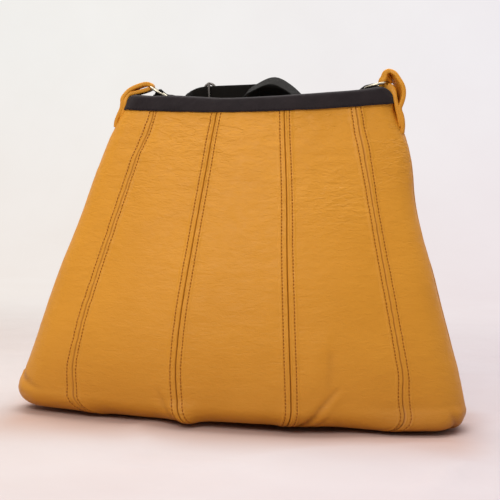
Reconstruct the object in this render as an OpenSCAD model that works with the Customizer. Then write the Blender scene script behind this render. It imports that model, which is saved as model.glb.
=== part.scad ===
// Trapeze bag: tapered leather panels front and back, a bound rim, folded side tabs with rings,
// and a webbing shoulder strap with a slider, which hangs behind.
// Millimetres, +Z up, front towards -Y, origin on the floor under the middle of the base.

/* [Bag shell] */
// Width across the belly, just above the base
body_w = 385; // [350:5:420]
// Depth from front to back at the belly
body_d = 118; // [104:2:130]
// Width between the side seams at the rim
rim_w = 236; // [225:1:260]
// Depth of the open mouth at the rim
rim_d = 58; // [54:1:64]
// Height of the leather up to the lower edge of the rim binding, at the side seams
body_h = 264; // [240:2:290]
// Distance that the rim leans back past the middle of the base
rim_lean = 30; // [20:1:40]
// Shift of the rim to the right, as the soft bag leans
rim_shift = 4.5; // [0:0.5:8]
// Corner radius of the outline at the belly
belly_corner = 36; // [30:1:42]
// Corner radius of the outline at the rim
rim_corner = 17; // [15:0.5:19]
// How far the base is drawn in from the belly at each side
base_inset_side = 20; // [16:1:24]
// How far the base is drawn in from the belly at front and back
base_inset_front = 20; // [16:1:24]
// Height over which the panels turn under into the base
turn_h = 15; // [13:1:22]
// Bulge of the front and back between belly and rim, as a power of the height
bulge_power = 1.7; // [1.4:0.1:2]
// Width of an end panel as a share of a middle panel
end_share = 0.69; // [0.62:0.01:0.74]
// Dip of the rim in the middle of front and back
rim_sag = 6.4; // [3:0.1:9]
// Height that the rim gains at the right side seam and loses at the left one
rim_tilt = 5.1; // [2:0.1:7]
// Lift of the left end of the base
corner_lift = 1.5; // [0:0.5:4]
// Thickness of the leather
leather_t = 1.6; // [1.2:0.1:2]

/* [Rim binding and lining] */
// Height of the rim binding
binding_h = 14; // [12:0.5:16]
// Thickness of the binding cloth
binding_t = 1.2; // [0.8:0.1:1.6]
// Thickness of the lining cloth
lining_t = 0.8; // [0.5:0.1:1.2]
// Play between the leather and the lining
lining_play = 1; // [0.9:0.1:1.2]
// Length of rim left free of binding on each side of a side seam
binding_stop = 9.5; // [9:0.5:10.5]
// Radius of the binding's rounded upper corners
binding_round = 12; // [10:0.5:14]
// Clearance between parts that lie on each other
fit = 0.2; // [0.15:0.05:0.3]

/* [Closure and pocket] */
// Diameter of the snap halves
snap_d = 18; // [14:1:20]
// Thickness of a snap half
snap_t = 2.4; // [2:0.2:3]
// Diameter of the snap's stud
snap_stud_d = 6; // [5:0.5:8]
// Length of the snap's stud
snap_stud_l = 1.8; // [1.4:0.1:2]
// Depth of the snap's centre below the lower edge of the binding
snap_drop = 16; // [14:1:22]
// Thickness of the washers behind the lining
washer_t = 0.3; // [0.2:0.05:0.35]
// Clearance of the flat snap pieces from the curved walls
flat_fit = 0.4; // [0.35:0.05:0.5]
// Thickness of the slip pocket's cloth
pocket_t = 0.8; // [0.5:0.1:1.2]

/* [Side tabs and rings] */
// Width of a tab at the side seam
tab_w = 20; // [18:1:22]
// Width of a tab in the fold that holds the ring
tab_fold_w = 10; // [8:0.5:11]
// Thickness of a tab's leather
tab_t = 1.6; // [1.3:0.1:1.8]
// Length of a tab's lower end, below its stitching
tab_tail = 22; // [18:1:26]
// Stand-off of a tab's lower end from the bag's side
tab_puff = 2.4; // [1.5:0.1:3]
// Radius of a ring, to the middle of its wire
ring_r = 10; // [9.6:0.1:10.4]
// Diameter of the ring wire
ring_wire = 2.2; // [1.8:0.1:2.4]
// Tilt of the left ring, its inner side down
left_ring_tilt = 30; // [26:1:34]
// Tilt of the right ring, its inner side down
right_ring_tilt = 15; // [12:1:18]

/* [Shoulder strap] */
// Width of the webbing
web_w = 30; // [26:1:30]
// Thickness of the webbing
web_t = 1.4; // [1.1:0.1:1.6]
// Width of the webbing where it is bunched in a ring
web_bunch = 7; // [6:0.5:7.5]
// Inner radius of the webbing's turn round the left ring, which tilts more
left_turn_r = 4.4; // [4.2:0.1:4.8]
// Inner radius of the webbing's turn round the right ring
right_turn_r = 2.8; // [2.7:0.1:3]
// Width of the webbing where it turns round the right ring, between the ring and its tab
right_bunch = 5.2; // [5:0.1:5.4]
// How far inward of the ring's rear-most point the webbing turns round the right ring
right_shift = 2; // [1.9:0.1:2.1]
// Gap between the two layers of the doubled webbing
web_gap = 0.5; // [0.4:0.1:0.8]
// Distance of the straight band's middle below the binding's top, at the slider
band_drop = 8.8; // [7:0.2:12]
// Distance of the band behind the back rim
band_back = 37; // [36:0.5:40]
// Rise of the straight band towards the right, in degrees
band_rise = 3.4; // [1:0.1:4]
// Place of the arch's top to the right of the bag's middle
hump_x = 13.5; // [10:0.5:17]
// Place of the slider to the left of the bag's middle
slider_x = 47.5; // [46:0.5:49]
// Travel of the slider along the straight band
slider_travel = 34; // [30:1:36]
// Height of the arch that the webbing makes above the rim
hump_h = 17; // [13:0.5:18]
// Depth of the long hanging loop below the rim
loop_drop = 190; // [150:5:200]

/* [Strap slider] */
// Diameter of the slider's wire
slider_wire = 2.4; // [2:0.1:2.6]
// Outer length of the slider along the strap
slider_l = 12; // [11:0.5:13]
// Room beyond each edge of the webbing inside the slider
slider_room = 1.6; // [1.2:0.1:2]

/* [Hidden] */

leather = [0.82, 0.55, 0.2];
cloth = [0.15, 0.12, 0.15];
lining_cloth = [0.3, 0.27, 0.27];
steel = [0.78, 0.74, 0.66];

front = -1;
back = 1;
left = -1;
right = 1;

// Panel coordinate: 0 in the middle of front or back, 1 per middle panel, side_u at a side seam
side_u = 1.5 + end_share;
belly_a = body_w / 2;
belly_b = body_d / 2;
rim_a = rim_w / 2;
rim_b = rim_d / 2;

// Rows of the shell: flat base, turn, wall and the rim's free edge
base_rows = 2;
turn_rows = 5;
wall_rows = 9;
wall_row = base_rows + turn_rows;
rim_row = wall_row + wall_rows;
edge_row = rim_row + 1;
lift_start = belly_a / 2;
lift_fade = body_h / 2;
shift_power = 2.8;

// Quarter outline of a four-centred oval: a long arc over the front and a short arc round the corner
function long_r(a, b, r) = ((a - r) * (a - r) + b * b - r * r) / (2 * (b - r));
function long_angle(a, b, r) = atan2(a - r, long_r(a, b, r) - b);
function quarter_len(a, b, r) =
    (long_r(a, b, r) * long_angle(a, b, r) + r * (90 - long_angle(a, b, r))) * PI / 180;
function quarter_point(a, b, r, s) =
    let (big = long_r(a, b, r))
    let (turn = long_angle(a, b, r))
    let (long_len = big * turn * PI / 180)
    s <= long_len
        ? let (v = s / big * 180 / PI) [big * sin(v), big * cos(v) - big + b]
        : let (v = turn + (s - long_len) / r * 180 / PI) [a - r + r * sin(v), r * cos(v)];

// Half width, half depth, corner radius and height of a row, at a depth below the outer surface
function base_row(f, off) =
    [belly_a - base_inset_side, (belly_b - base_inset_front) * f, belly_corner - base_inset_side, off];
function turn_row(v, off) =
    let (side_in = off + (base_inset_side - off) * (1 - sin(v)))
    let (front_in = off + (base_inset_front - off) * (1 - sin(v)))
    [belly_a - side_in, belly_b - front_in, belly_corner - side_in, off + (turn_h - off) * (1 - cos(v))];
function wall_at(t, off) = [
    belly_a + (rim_a - belly_a) * t - off,
    rim_b + (belly_b - rim_b) * (1 - pow(t, bulge_power)) - off,
    belly_corner + (rim_corner - belly_corner) * t - off,
    turn_h + (body_h - turn_h) * t];
function wall_share(z) = (z - turn_h) / (body_h - turn_h);
function row_at(j, off) =
    j <= base_rows ? base_row(j / base_rows, off)
    : j <= wall_row ? turn_row(90 * (j - base_rows) / turn_rows, off)
    : wall_at((j - wall_row) / wall_rows, off);

// Point of the shell for one outline; the side is front or back
function outline_point(side, u, row) =
    let (s = abs(u) / side_u)
    let (r = min(row[2], 0.9 * row[1]))
    let (q = row[1] < 0.5 || s > 0.9999
        ? [row[0] * min(s, 1), 0]
        : quarter_point(row[0], row[1], r, s * quarter_len(row[0], row[1], r)))
    let (x = sign(u) * q[0])
    let (z = row[3])
    let (k = pow(z / body_h, 3))
    let (lift = pow(max(0, (-x - lift_start) / (belly_a - lift_start)), 2) * max(0, 1 - z / lift_fade))
    [x + rim_shift * pow(z / body_h, shift_power), side * q[1] + rim_lean * z / body_h,
        z - rim_sag * (1 - s * s) * k + rim_tilt * x / rim_a * k + corner_lift * lift];

// Share of the binding's height that the rim keeps at a panel coordinate: it drops at the side seams
rim_quarter = quarter_len(rim_a, rim_b, rim_corner);
function seam_gap(u) = rim_quarter * (1 - abs(u) / side_u);
round_start = 0.84 * binding_stop;
function rim_rise(u) =
    let (d = (seam_gap(u) - round_start) / binding_round)
    d <= 0 ? 0 : d >= 1 ? 1 : sqrt(1 - (1 - d) * (1 - d));
function edge_point(side, u, h, off) =
    outline_point(side, u, wall_at(wall_share(body_h + h * rim_rise(u)), off));
function shell_point(side, u, j, off, h) =
    j == edge_row ? edge_point(side, u, h, off) : outline_point(side, u, row_at(j, off));

// Closed shell piece between two depths, over a list of panel coordinates and a run of rows
module shell_piece(side, us, j0, j1, off0, off1, h) {
    n = len(us);
    m = j1 - j0 + 1;
    points = [for (off = [off0, off1]) for (j = [j0:j1]) for (u = us) shell_point(side, u, j, off, h)];
    layer = n * m;
    quads = [
        for (j = [0:m - 2]) for (i = [0:n - 2]) let (p = j * n + i) [p, p + 1, p + n + 1, p + n],
        for (j = [0:m - 2]) for (i = [0:n - 2]) let (p = layer + j * n + i) [p + n, p + n + 1, p + 1, p],
        for (i = [0:n - 2]) [layer + i, layer + i + 1, i + 1, i],
        for (i = [0:n - 2]) let (p = layer - n + i) [p, p + 1, layer + p + 1, layer + p],
        for (j = [0:m - 2]) let (p = j * n) [p, p + n, layer + p + n, layer + p],
        for (j = [0:m - 2]) let (p = j * n + n - 1) [layer + p, layer + p + n, p + n, p]];
    faces = [for (q = quads) each (q[0] < layer && q[3] >= layer || q[0] < layer && q[2] < layer
        ? [[q[0], q[1], q[2]], [q[0], q[2], q[3]]]
        : [[q[0], q[1], q[3]], [q[1], q[2], q[3]]])];
    polyhedron(points, side == front ? [for (f = faces) [f[2], f[1], f[0]]] : faces);
}

// Panel coordinates across the middle panels and across an end panel, closer together at the rounded end
mid_cols = 4;
end_gaps = [3.2, 2.1, 1.7, 1.3, 1, 0.84, 0.42, 0];
end_us = [1.5, for (g = end_gaps) side_u * (1 - g * binding_stop / rim_quarter)];
function middle_us(c) = [for (i = [0:mid_cols]) c - 0.5 + i / mid_cols];
function mirrored(us) = [for (i = [len(us) - 1:-1:0]) -us[i]];
function panel_us(k) = k == 1 ? mirrored(end_us) : k == 5 ? end_us : middle_us(k - 3);
all_us = [each mirrored(end_us),
    for (c = [-1:1]) for (i = [1:mid_cols]) c - 0.5 + i / mid_cols,
    for (i = [1:len(end_us) - 1]) end_us[i]];
binding_us = [for (u = all_us) if (seam_gap(u) > binding_stop - 0.01) u];

leather_edge_h = binding_h - binding_t;
lining_off = leather_t + lining_play;
lining_in = lining_off + lining_t;

module leather_panel(side, k) {
    color(leather) shell_piece(side, panel_us(k), 0, edge_row, 0, leather_t, leather_edge_h);
}

module lining(side) {
    color(lining_cloth) shell_piece(side, all_us, 0, edge_row, lining_off, lining_in, leather_edge_h);
}

pocket_low_row = wall_row + 3;
pocket_top_row = wall_row + 7;
pocket_us = [for (u = all_us) if (abs(u) <= 1.01) u];

module slip_pocket() {
    color(lining_cloth) shell_piece(back, pocket_us, pocket_low_row, pocket_top_row,
        lining_in + fit, lining_in + fit + pocket_t, 0);
}

// Binding: one folded strip over the edges of leather and lining, as rings of points along the rim
bind_out = -fit - binding_t;
bind_in = lining_in + fit + binding_t;
bind_mid = (bind_out + bind_in) / 2;
fold_h = leather_edge_h + fit;
function bind_ring(side, u) = [
    edge_point(side, u, 0, bind_out),
    edge_point(side, u, fold_h, bind_out),
    edge_point(side, u, fold_h + binding_t * 0.7, (bind_out + bind_mid) / 2 - binding_t / 3),
    edge_point(side, u, fold_h + binding_t, bind_mid),
    edge_point(side, u, fold_h + binding_t * 0.7, (bind_in + bind_mid) / 2 + binding_t / 3),
    edge_point(side, u, fold_h, bind_in),
    edge_point(side, u, 0, bind_in),
    edge_point(side, u, 0, bind_in - binding_t),
    edge_point(side, u, fold_h - 0.01, bind_in - binding_t),
    edge_point(side, u, fold_h - 0.01, -fit),
    edge_point(side, u, 0, -fit)];

// Closed skin through rings of points, each ring closed, with the first and last ring capped
module ring_skin(rings, caps, flip) {
    n = len(rings[0]);
    m = len(rings);
    sides = [for (j = [0:m - 2]) for (i = [0:n - 1])
        let (a = j * n + i)
        let (b = j * n + (i + 1) % n)
        each [[a, b, b + n], [a, b + n, a + n]]];
    start = [for (c = caps) [c[2], c[1], c[0]]];
    finish = [for (c = caps) [for (i = c) (m - 1) * n + i]];
    faces = concat(sides, start, finish);
    polyhedron([for (r = rings) each r], flip ? [for (f = faces) [f[2], f[1], f[0]]] : faces);
}

bind_caps = [[0, 1, 9], [0, 9, 10], [1, 2, 9], [2, 3, 9], [3, 8, 9], [3, 4, 8], [4, 5, 8], [5, 6, 8], [6, 7, 8]];

module rim_binding(side) {
    color(cloth) ring_skin([for (u = binding_us) bind_ring(side, u)], bind_caps, side == back);
}

// Snap halves on the lining, in the middle of front and back, square to the wall
snap_row_z = body_h - snap_drop;
function snap_spot(side, off) = outline_point(side, 0, wall_at(wall_share(snap_row_z), off));
function wall_slope(side) =
    let (p = outline_point(side, 0, wall_at(wall_share(snap_row_z - 10), 0)))
    let (q = outline_point(side, 0, wall_at(wall_share(snap_row_z + 10), 0)))
    atan2(q[1] - p[1], q[2] - p[2]);

module on_wall(side, off) {
    translate(snap_spot(side, off)) rotate([-wall_slope(side), 0, 0]) rotate([side * 90, 0, 0]) children();
}

module snap_socket() {
    color(steel) on_wall(front, lining_in + flat_fit) difference() {
        cylinder(d = snap_d, h = snap_t, $fn = 48);
        translate([0, 0, snap_t - snap_stud_l - fit])
            cylinder(d = snap_stud_d + 2 * fit, h = snap_stud_l + 1, $fn = 36);
    }
}

module snap_stud() {
    color(steel) on_wall(back, lining_in + flat_fit) union() {
        cylinder(d = snap_d, h = snap_t / 2, $fn = 48);
        cylinder(d = snap_stud_d, h = snap_t / 2 + snap_stud_l, $fn = 36);
    }
}

module washer(side) {
    color(steel) on_wall(side, lining_off - flat_fit) mirror([0, 0, 1]) difference() {
        cylinder(d = snap_d - 2, h = washer_t, $fn = 48);
        translate([0, 0, -1]) cylinder(d = snap_stud_d, h = washer_t + 2, $fn = 36);
    }
}

// Smooth curve through hand-chosen rows of numbers: places, width directions and widths together
function spline_at(p0, p1, p2, p3, t) =
    0.5 * ((2 * p1) + (p2 - p0) * t + (2 * p0 - 5 * p1 + 4 * p2 - p3) * t * t
    + (3 * p1 - p0 - 3 * p2 + p3) * t * t * t);
function smooth(rows, n) = [
    for (i = [0:len(rows) - 2]) for (k = [0:n - 1])
        spline_at(rows[max(0, i - 1)], rows[i], rows[i + 1], rows[min(len(rows) - 1, i + 2)], k / n),
    rows[len(rows) - 1]];
function unit(v) = v / norm(v);
function pick(row, i) = [row[i], row[i + 1], row[i + 2]];

// Ribbon: rows of [x, y, z, width direction, width, thickness]
function tangent_at(rows, i) =
    unit(pick(rows[min(i + 1, len(rows) - 1)], 0) - pick(rows[max(i - 1, 0)], 0));
function ribbon_ring(rows, i) =
    let (t = tangent_at(rows, i))
    let (w0 = unit(pick(rows[i], 3)))
    let (n = unit(cross(t, w0)))
    let (w = unit(cross(n, t)))
    let (p = pick(rows[i], 0))
    let (hw = w * rows[i][6] / 2)
    let (ht = n * rows[i][7] / 2)
    [p - hw - ht, p + hw - ht, p + hw + ht, p - hw + ht];

module ribbon(rows) {
    ring_skin([for (i = [0:len(rows) - 1]) ribbon_ring(rows, i)], [[0, 1, 2], [0, 2, 3]], false);
}

// Tabs: a leather strip from its loose lower end, up over its stitching, round the ring and back
function seam_point(side, dz) = outline_point(front, side * side_u, wall_at(wall_share(body_h + dz), 0));
function seam_x(side, dz) = side * seam_point(side, dz)[0];
function flap_spot(side, dz, gap) = [seam_x(side, 0) - seam_x(side, dz) - gap - tab_t / 2, dz];
lap = tab_t + fit;
stitch_gap = fit + lap;

// Each place is [inward, up] from the stitching, for a tab 20 wide; the last number is the strip's width
tk = tab_w / 20;
function tab_at(x, z, w) = [x * tk, z * tk, w];
left_fold = [24 * tk, 19.9 * tk];
left_fold_r = ring_wire / 2 + 0.6 + tab_t / 2;
left_tab_places = [
    [each flap_spot(left, -tab_tail + 3, stitch_gap), tab_w],
    [each flap_spot(left, -tab_tail * 0.6, stitch_gap + tab_puff * 0.6), tab_w],
    [each flap_spot(left, -tab_tail * 0.3, stitch_gap + tab_puff * 0.3), tab_w],
    [each flap_spot(left, 0, stitch_gap), tab_w],
    tab_at(-2.6, 5.8, tab_w),
    tab_at(-1.0, 11.3, tab_w - 1),
    tab_at(3.0, 16.3, tab_w - 3),
    tab_at(9.0, 20.2, tab_w - 5),
    tab_at(16, 22.2, tab_fold_w + 2),
    for (v = [90:-36:-90]) [left_fold[0] + left_fold_r * cos(v), left_fold[1] + left_fold_r * sin(v), tab_fold_w],
    tab_at(17, 16.7, tab_fold_w + 1),
    tab_at(10.5, 15.7, tab_w - 6),
    tab_at(5.6, 12.7, tab_w - 4),
    tab_at(2.2, 7.8, tab_w - 4),
    tab_at(-0.2, 2.9, tab_w),
    [each flap_spot(left, -2.5, fit), tab_w],
    [each flap_spot(left, -8, fit), tab_w]];

right_tab_places = [
    [each flap_spot(right, -tab_tail - 5, stitch_gap), tab_w],
    [each flap_spot(right, -tab_tail * 0.7, stitch_gap + tab_puff), tab_w],
    [each flap_spot(right, -tab_tail * 0.4, stitch_gap + tab_puff * 0.5), tab_w],
    [each flap_spot(right, -3.4, stitch_gap), tab_w],
    tab_at(-3, 2.6, tab_w),
    tab_at(-3, 9.6, tab_w),
    tab_at(-1.5, 17.1, tab_w - 2),
    tab_at(2, 24.1, tab_w - 5),
    tab_at(6, 28.4, tab_w - 7),
    tab_at(9.6, 28.2, tab_w - 8),
    tab_at(12, 24, tab_fold_w + 1),
    tab_at(13, 19.8, tab_fold_w),
    tab_at(14.4, 16.6, tab_fold_w),
    tab_at(13.8, 14.2, tab_fold_w),
    tab_at(10.8, 14, tab_fold_w),
    tab_at(7.6, 14.8, tab_fold_w),
    tab_at(4.4, 14.4, tab_fold_w + 1),
    tab_at(2.6, 10.6, tab_w - 4),
    tab_at(1.2, 7.5, tab_w - 3),
    tab_at(-0.3, 3.2, tab_w - 1),
    [each flap_spot(right, -1, fit), tab_w],
    [each flap_spot(right, -5, fit), tab_w],
    [each flap_spot(right, -11, fit), tab_w]];

function tab_place(side, p) = seam_point(side, 0) + [-side * p[0], 0, p[1]];
function tab_rows(side, places) =
    [for (p = smooth(places, 2)) [each tab_place(side, p), 0, 1, 0, p[2], tab_t]];

module side_tab(side, places) {
    color(leather) ribbon(tab_rows(side, places));
}

// Rings: wire circles held in the folds, tilted with their inner side down
left_wire = [23 * tk, 20.1 * tk];
right_wire = [6.2 * tk, 17.4 * tk];
function ring_centre(side, wire, tilt) =
    tab_place(side, [wire[0] + ring_r * cos(tilt), wire[1] - ring_r * sin(tilt)]);
left_ring_at = ring_centre(left, left_wire, left_ring_tilt);
right_ring_at = ring_centre(right, right_wire, right_ring_tilt);

module wire_ring(at, tilt) {
    color(steel) translate(at) rotate([0, tilt, 0]) rotate_extrude($fn = 72)
        translate([ring_r, 0]) circle(d = ring_wire, $fn = 24);
}

// Strap pivots: the rear-most point of each ring's wire; the strap swings about the line through both
left_pivot = left_ring_at + [0, ring_r, 0];
right_pivot = right_ring_at + [0, ring_r, 0];
pivot_dir = unit(right_pivot - left_pivot);

// Webbing: it turns round a ring's wire, in the plane square to the pivot line
layer_step = web_t + web_gap;
function ring_turn(pivot, dir, r, v, w) =
    [each (pivot + (r + web_t / 2) * [0, cos(v), sin(v)]), each dir, w, web_t];
// Strap places are stated for webbing 30 wide and grow with it; the last number is a share of its width
wk = web_w / 30;
function at(p, dir, w) = [p[0], p[1], p[2], dir[0], dir[1], dir[2], w * web_w, web_t];
function side_step(rows, i, d) =
    let (t = tangent_at(rows, i))
    let (n = unit(cross(t, pick(rows[i], 3))))
    let (p = pick(rows[i], 0) + n * d)
    [each p, rows[i][3], rows[i][4], rows[i][5], rows[i][6], rows[i][7]];
function layer(rows, d) = [for (i = [0:len(rows) - 1]) side_step(rows, i, d)];
function backwards(rows) = [for (i = [len(rows) - 1:-1:0]) rows[i]];

back_rim_y = rim_lean + rim_b;
rim_top = body_h + binding_h;
band_y = back_rim_y + band_back;
band_z = rim_top - band_drop;
band_dir = [cos(band_rise), 0, sin(band_rise)];
band_up = [-sin(band_rise), 0, cos(band_rise)];
slider_at = [-slider_x, band_y, band_z];
function band_point(d) = slider_at + d * wk * band_dir;

// Doubled part from the left ring over the back rim to the slider and on to the webbing's free end
lp = left_pivot;
left_leave = -5;
doubled = [
    at(lp + wk * [2, 9, -0.8], pivot_dir, 0.3),
    at(lp + wk * [3.5, 16.5, -2.5], [1, -0.1, 0], 0.4),
    at(lp + wk * [6, 23, -6], [1, -0.3, 0.4], 0.55),
    at(lp + wk * [10, 33, -10], [0.7, -0.4, 0.8], 0.75),
    at(lp + wk * [15, 44, -9], [0.2, -0.2, 1], 0.93),
    at(band_point(-13) - wk * [0, 1, 0.8], [-0.05, -0.03, 1], 1),
    for (d = [-6, 8, 24]) at(band_point(d), band_up, 1)];
past_slider = [slider_travel / wk + 2, slider_travel / wk + 12];
free_end = [for (d = past_slider) at(band_point(d), band_up, 1)];

// Single part: down behind the bag, a hanging loop, an arch over the back rim, along to the right ring
function back_y(z) = rim_lean * z / body_h + wall_at(wall_share(z), 0)[1];
function behind(x, z, gap, dir) = at([x, back_y(z) + gap, z], dir, 1);
bend_r = 20 * wk;
drop_x = 32;
rise_x = -25;
low_z = rim_top - loop_drop;
near_gap = 9 * wk;
far_gap = 23 * wk;
low_y = back_y(low_z) + web_w / 2 + 4;
hump_y = back_rim_y + web_w / 2 + 2.3;
hump_z = rim_top - rim_sag + hump_h;
mid_z = (low_z + rim_top) / 2;
single = [
    for (d = past_slider) at(band_point(d) + [0, layer_step / 2, 0], band_up, 1),
    for (v = [65, 40, 15])
        at([drop_x - bend_r + bend_r * cos(v), band_y, band_z + 2.2 * wk - bend_r + bend_r * sin(v)],
            [cos(v), 0, sin(v)], 1),
    at([drop_x + 1, band_y - 3 * wk, band_z - 42 * wk], [1, 0, 0], 1),
    behind(drop_x + 2, mid_z + 5, far_gap, [1, 0, 0]),
    behind(drop_x + 2, mid_z - 32, far_gap, [1, -0.1, 0]),
    at([drop_x, low_y + 3 * wk, low_z + 32 * wk], [0.7, -0.7, 0], 1),
    at([drop_x - 11 * wk, low_y, low_z + 8 * wk], [0.2, -1, 0], 1),
    at([(drop_x + rise_x) / 2, low_y, low_z], [0, -1, 0], 1),
    at([rise_x + 9 * wk, low_y - wk, low_z + 9 * wk], [-0.2, -1, 0], 1),
    at([rise_x - 1, low_y - 4 * wk, low_z + 34 * wk], [-0.7, -0.6, 0], 1),
    behind(rise_x - 3, mid_z - 27, near_gap, [-1, -0.1, 0]),
    behind(rise_x - 3, mid_z + 12, near_gap, [-1, 0, 0]),
    behind(rise_x - 2, rim_top - 50 * wk, near_gap + 4 * wk, [-0.8, -0.6, 0]),
    at([rise_x + 4 * wk, hump_y, rim_top - 26 * wk], [-0.2, -1, 0], 1),
    for (p = [[-26, -14, -0.15], [-15, -5, -0.2], [-1, 0, -0.22], [13, -6, -0.2], [25, -16, -0.1]])
        at([hump_x + p[0] * wk, hump_y, hump_z + p[1] * wk], [0, -1, p[2]], 1),
    at([hump_x + 36 * wk, hump_y - 2 * wk, hump_z - 26 * wk], [0.3, -1, 0.3], 0.97),
    at([hump_x + 50 * wk, back_rim_y + 12 * wk, rim_top - 23 * wk], [0.3, -0.8, 0.9], 0.9)];

// Doubled end at the right ring, sewn back on itself
rp = right_pivot;
right_leave = -4;
right_turn_at = right_pivot - right_shift * pivot_dir;
right_end = [
    at(rp + wk * [-28, 26, -24], [-0.3, -0.3, 1], 0.83),
    at(rp + wk * [-20, 25, -18], [-0.6, -0.2, 0.9], 0.7),
    at(rp + wk * [-12, 22, -8], [-0.9, -0.2, 0.5], 0.5),
    at(rp + wk * [-7.5, 15.5, -2], [-1, 0, 0.1], 0.32),
    at(rp + wk * [-3.5, 8.5, 0.2], -pivot_dir, 0.2)];

webbing_rows = concat(
    backwards(layer(concat(doubled, free_end), layer_step / 2)),
    [for (v = [-90:-36:-270]) ring_turn(left_pivot, pivot_dir, left_turn_r, v + left_leave, web_bunch)],
    layer(doubled, -layer_step / 2),
    single,
    layer(right_end, layer_step / 2),
    [for (v = [-90:-36:-270])
        ring_turn(right_turn_at, -pivot_dir, right_turn_r, v + right_leave, right_bunch)],
    backwards(layer(right_end, -layer_step / 2)));

module strap_webbing() {
    color(cloth) ribbon(smooth(webbing_rows, 2));
}

// Slider: an oval wire frame behind the two layers, and a bar in front of them that clamps them to it
slider_h = web_w + 2 * slider_room + 2 * slider_wire;
frame_r = (slider_l - slider_wire) / 2;
frame_run = slider_h - slider_l;
bar_run = slider_h - slider_wire;
frame_y = layer_step / 2 + web_t / 2 + 0.3 + slider_wire / 2;

module strap_slider() {
    color(steel) translate(slider_at) rotate([0, -band_rise, 0]) {
        for (s = [-1, 1]) translate([s * frame_r, frame_y, 0])
            cylinder(d = slider_wire, h = frame_run, center = true, $fn = 24);
        for (s = [0, 180]) rotate([0, s, 0]) translate([0, frame_y, frame_run / 2]) rotate([90, 0, 0])
            rotate_extrude(angle = 180, $fn = 48) translate([frame_r, 0]) circle(d = slider_wire, $fn = 24);
        translate([0, -frame_y, 0]) cylinder(d = slider_wire, h = bar_run, center = true, $fn = 24);
        for (s = [-1, 1]) translate([0, 0, s * bar_run / 2]) rotate([90, 0, 0])
            cylinder(d = slider_wire, h = 2 * frame_y, center = true, $fn = 24);
        for (s = [-1, 1]) translate([0, -frame_y, s * bar_run / 2]) sphere(d = slider_wire, $fn = 24);
    }
}

leather_panel(front, 1);  // front_panel_1
leather_panel(front, 2);  // front_panel_2
leather_panel(front, 3);  // front_panel_3
leather_panel(front, 4);  // front_panel_4
leather_panel(front, 5);  // front_panel_5
leather_panel(back, 1);  // back_panel_1
leather_panel(back, 2);  // back_panel_2
leather_panel(back, 3);  // back_panel_3
leather_panel(back, 4);  // back_panel_4
leather_panel(back, 5);  // back_panel_5
lining(front);  // lining_front
lining(back);  // lining_back
slip_pocket();
rim_binding(front);  // rim_binding_front
rim_binding(back);  // rim_binding_back
snap_socket();
snap_stud();
washer(front);  // socket_washer
washer(back);  // stud_washer
side_tab(left, left_tab_places);  // left_tab
side_tab(right, right_tab_places);  // right_tab
wire_ring(left_ring_at, left_ring_tilt);  // left_ring
wire_ring(right_ring_at, -right_ring_tilt);  // right_ring
strap_webbing();
strap_slider();
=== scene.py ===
import math

import bpy
import numpy as np
from mathutils import Matrix, Vector


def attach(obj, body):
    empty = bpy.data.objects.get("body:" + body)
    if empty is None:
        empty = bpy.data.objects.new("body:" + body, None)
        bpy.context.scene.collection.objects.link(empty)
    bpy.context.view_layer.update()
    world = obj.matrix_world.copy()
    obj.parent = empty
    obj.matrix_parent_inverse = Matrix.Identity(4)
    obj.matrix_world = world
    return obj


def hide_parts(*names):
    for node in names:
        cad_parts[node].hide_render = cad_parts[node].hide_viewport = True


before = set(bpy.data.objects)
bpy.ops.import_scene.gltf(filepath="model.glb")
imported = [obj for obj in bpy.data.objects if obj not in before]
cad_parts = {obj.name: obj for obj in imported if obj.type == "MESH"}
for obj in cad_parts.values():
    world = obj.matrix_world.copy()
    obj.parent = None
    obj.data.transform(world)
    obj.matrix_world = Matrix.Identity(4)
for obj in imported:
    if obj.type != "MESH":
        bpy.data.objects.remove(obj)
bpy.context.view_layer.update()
# Sizes of the bag in millimetres, as in the part
BODY_W, BODY_D, RIM_W, RIM_D, BODY_H = 385.0, 118.0, 236.0, 58.0, 264.0
LEAN, SHIFT, SHIFT_POWER, SAG, TILT, LIFT = 30.0, 4.5, 2.8, 6.4, 5.1, 1.5
BELLY_R, RIM_R, SIDE_IN, FRONT_IN, TURN_H = 36.0, 17.0, 20.0, 20.0, 15.0
BULGE, END_SHARE = 1.7, 0.69
LEATHER, BIND_H, BIND_T, LINING, PLAY, STOP, ROUND, FIT = 1.6, 14.0, 1.2, 0.8, 1.0, 9.5, 12.0, 0.2
SIDE_U = 1.5 + END_SHARE
FRONT, BACK, LEFT, RIGHT = -1, 1, -1, 1


def sin_d(v):
    return math.sin(math.radians(v))


def cos_d(v):
    return math.cos(math.radians(v))


def quarter(a, b, r):
    """long radius, angle where it ends (radians), length of the quarter"""
    big = ((a - r) ** 2 + b * b - r * r) / (2 * (b - r))
    turn = np.arctan2(a - r, big - b)
    return big, turn, big * turn + r * (np.pi / 2 - turn)


def outline(t):
    """Half width, half depth and corner radius of the wall at a share t of its height"""
    b = RIM_D / 2 + (BODY_D - RIM_D) / 2 * (1 - t ** BULGE)
    return BODY_W / 2 + (RIM_W - BODY_W) / 2 * t, b, BELLY_R + (RIM_R - BELLY_R) * t


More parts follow.
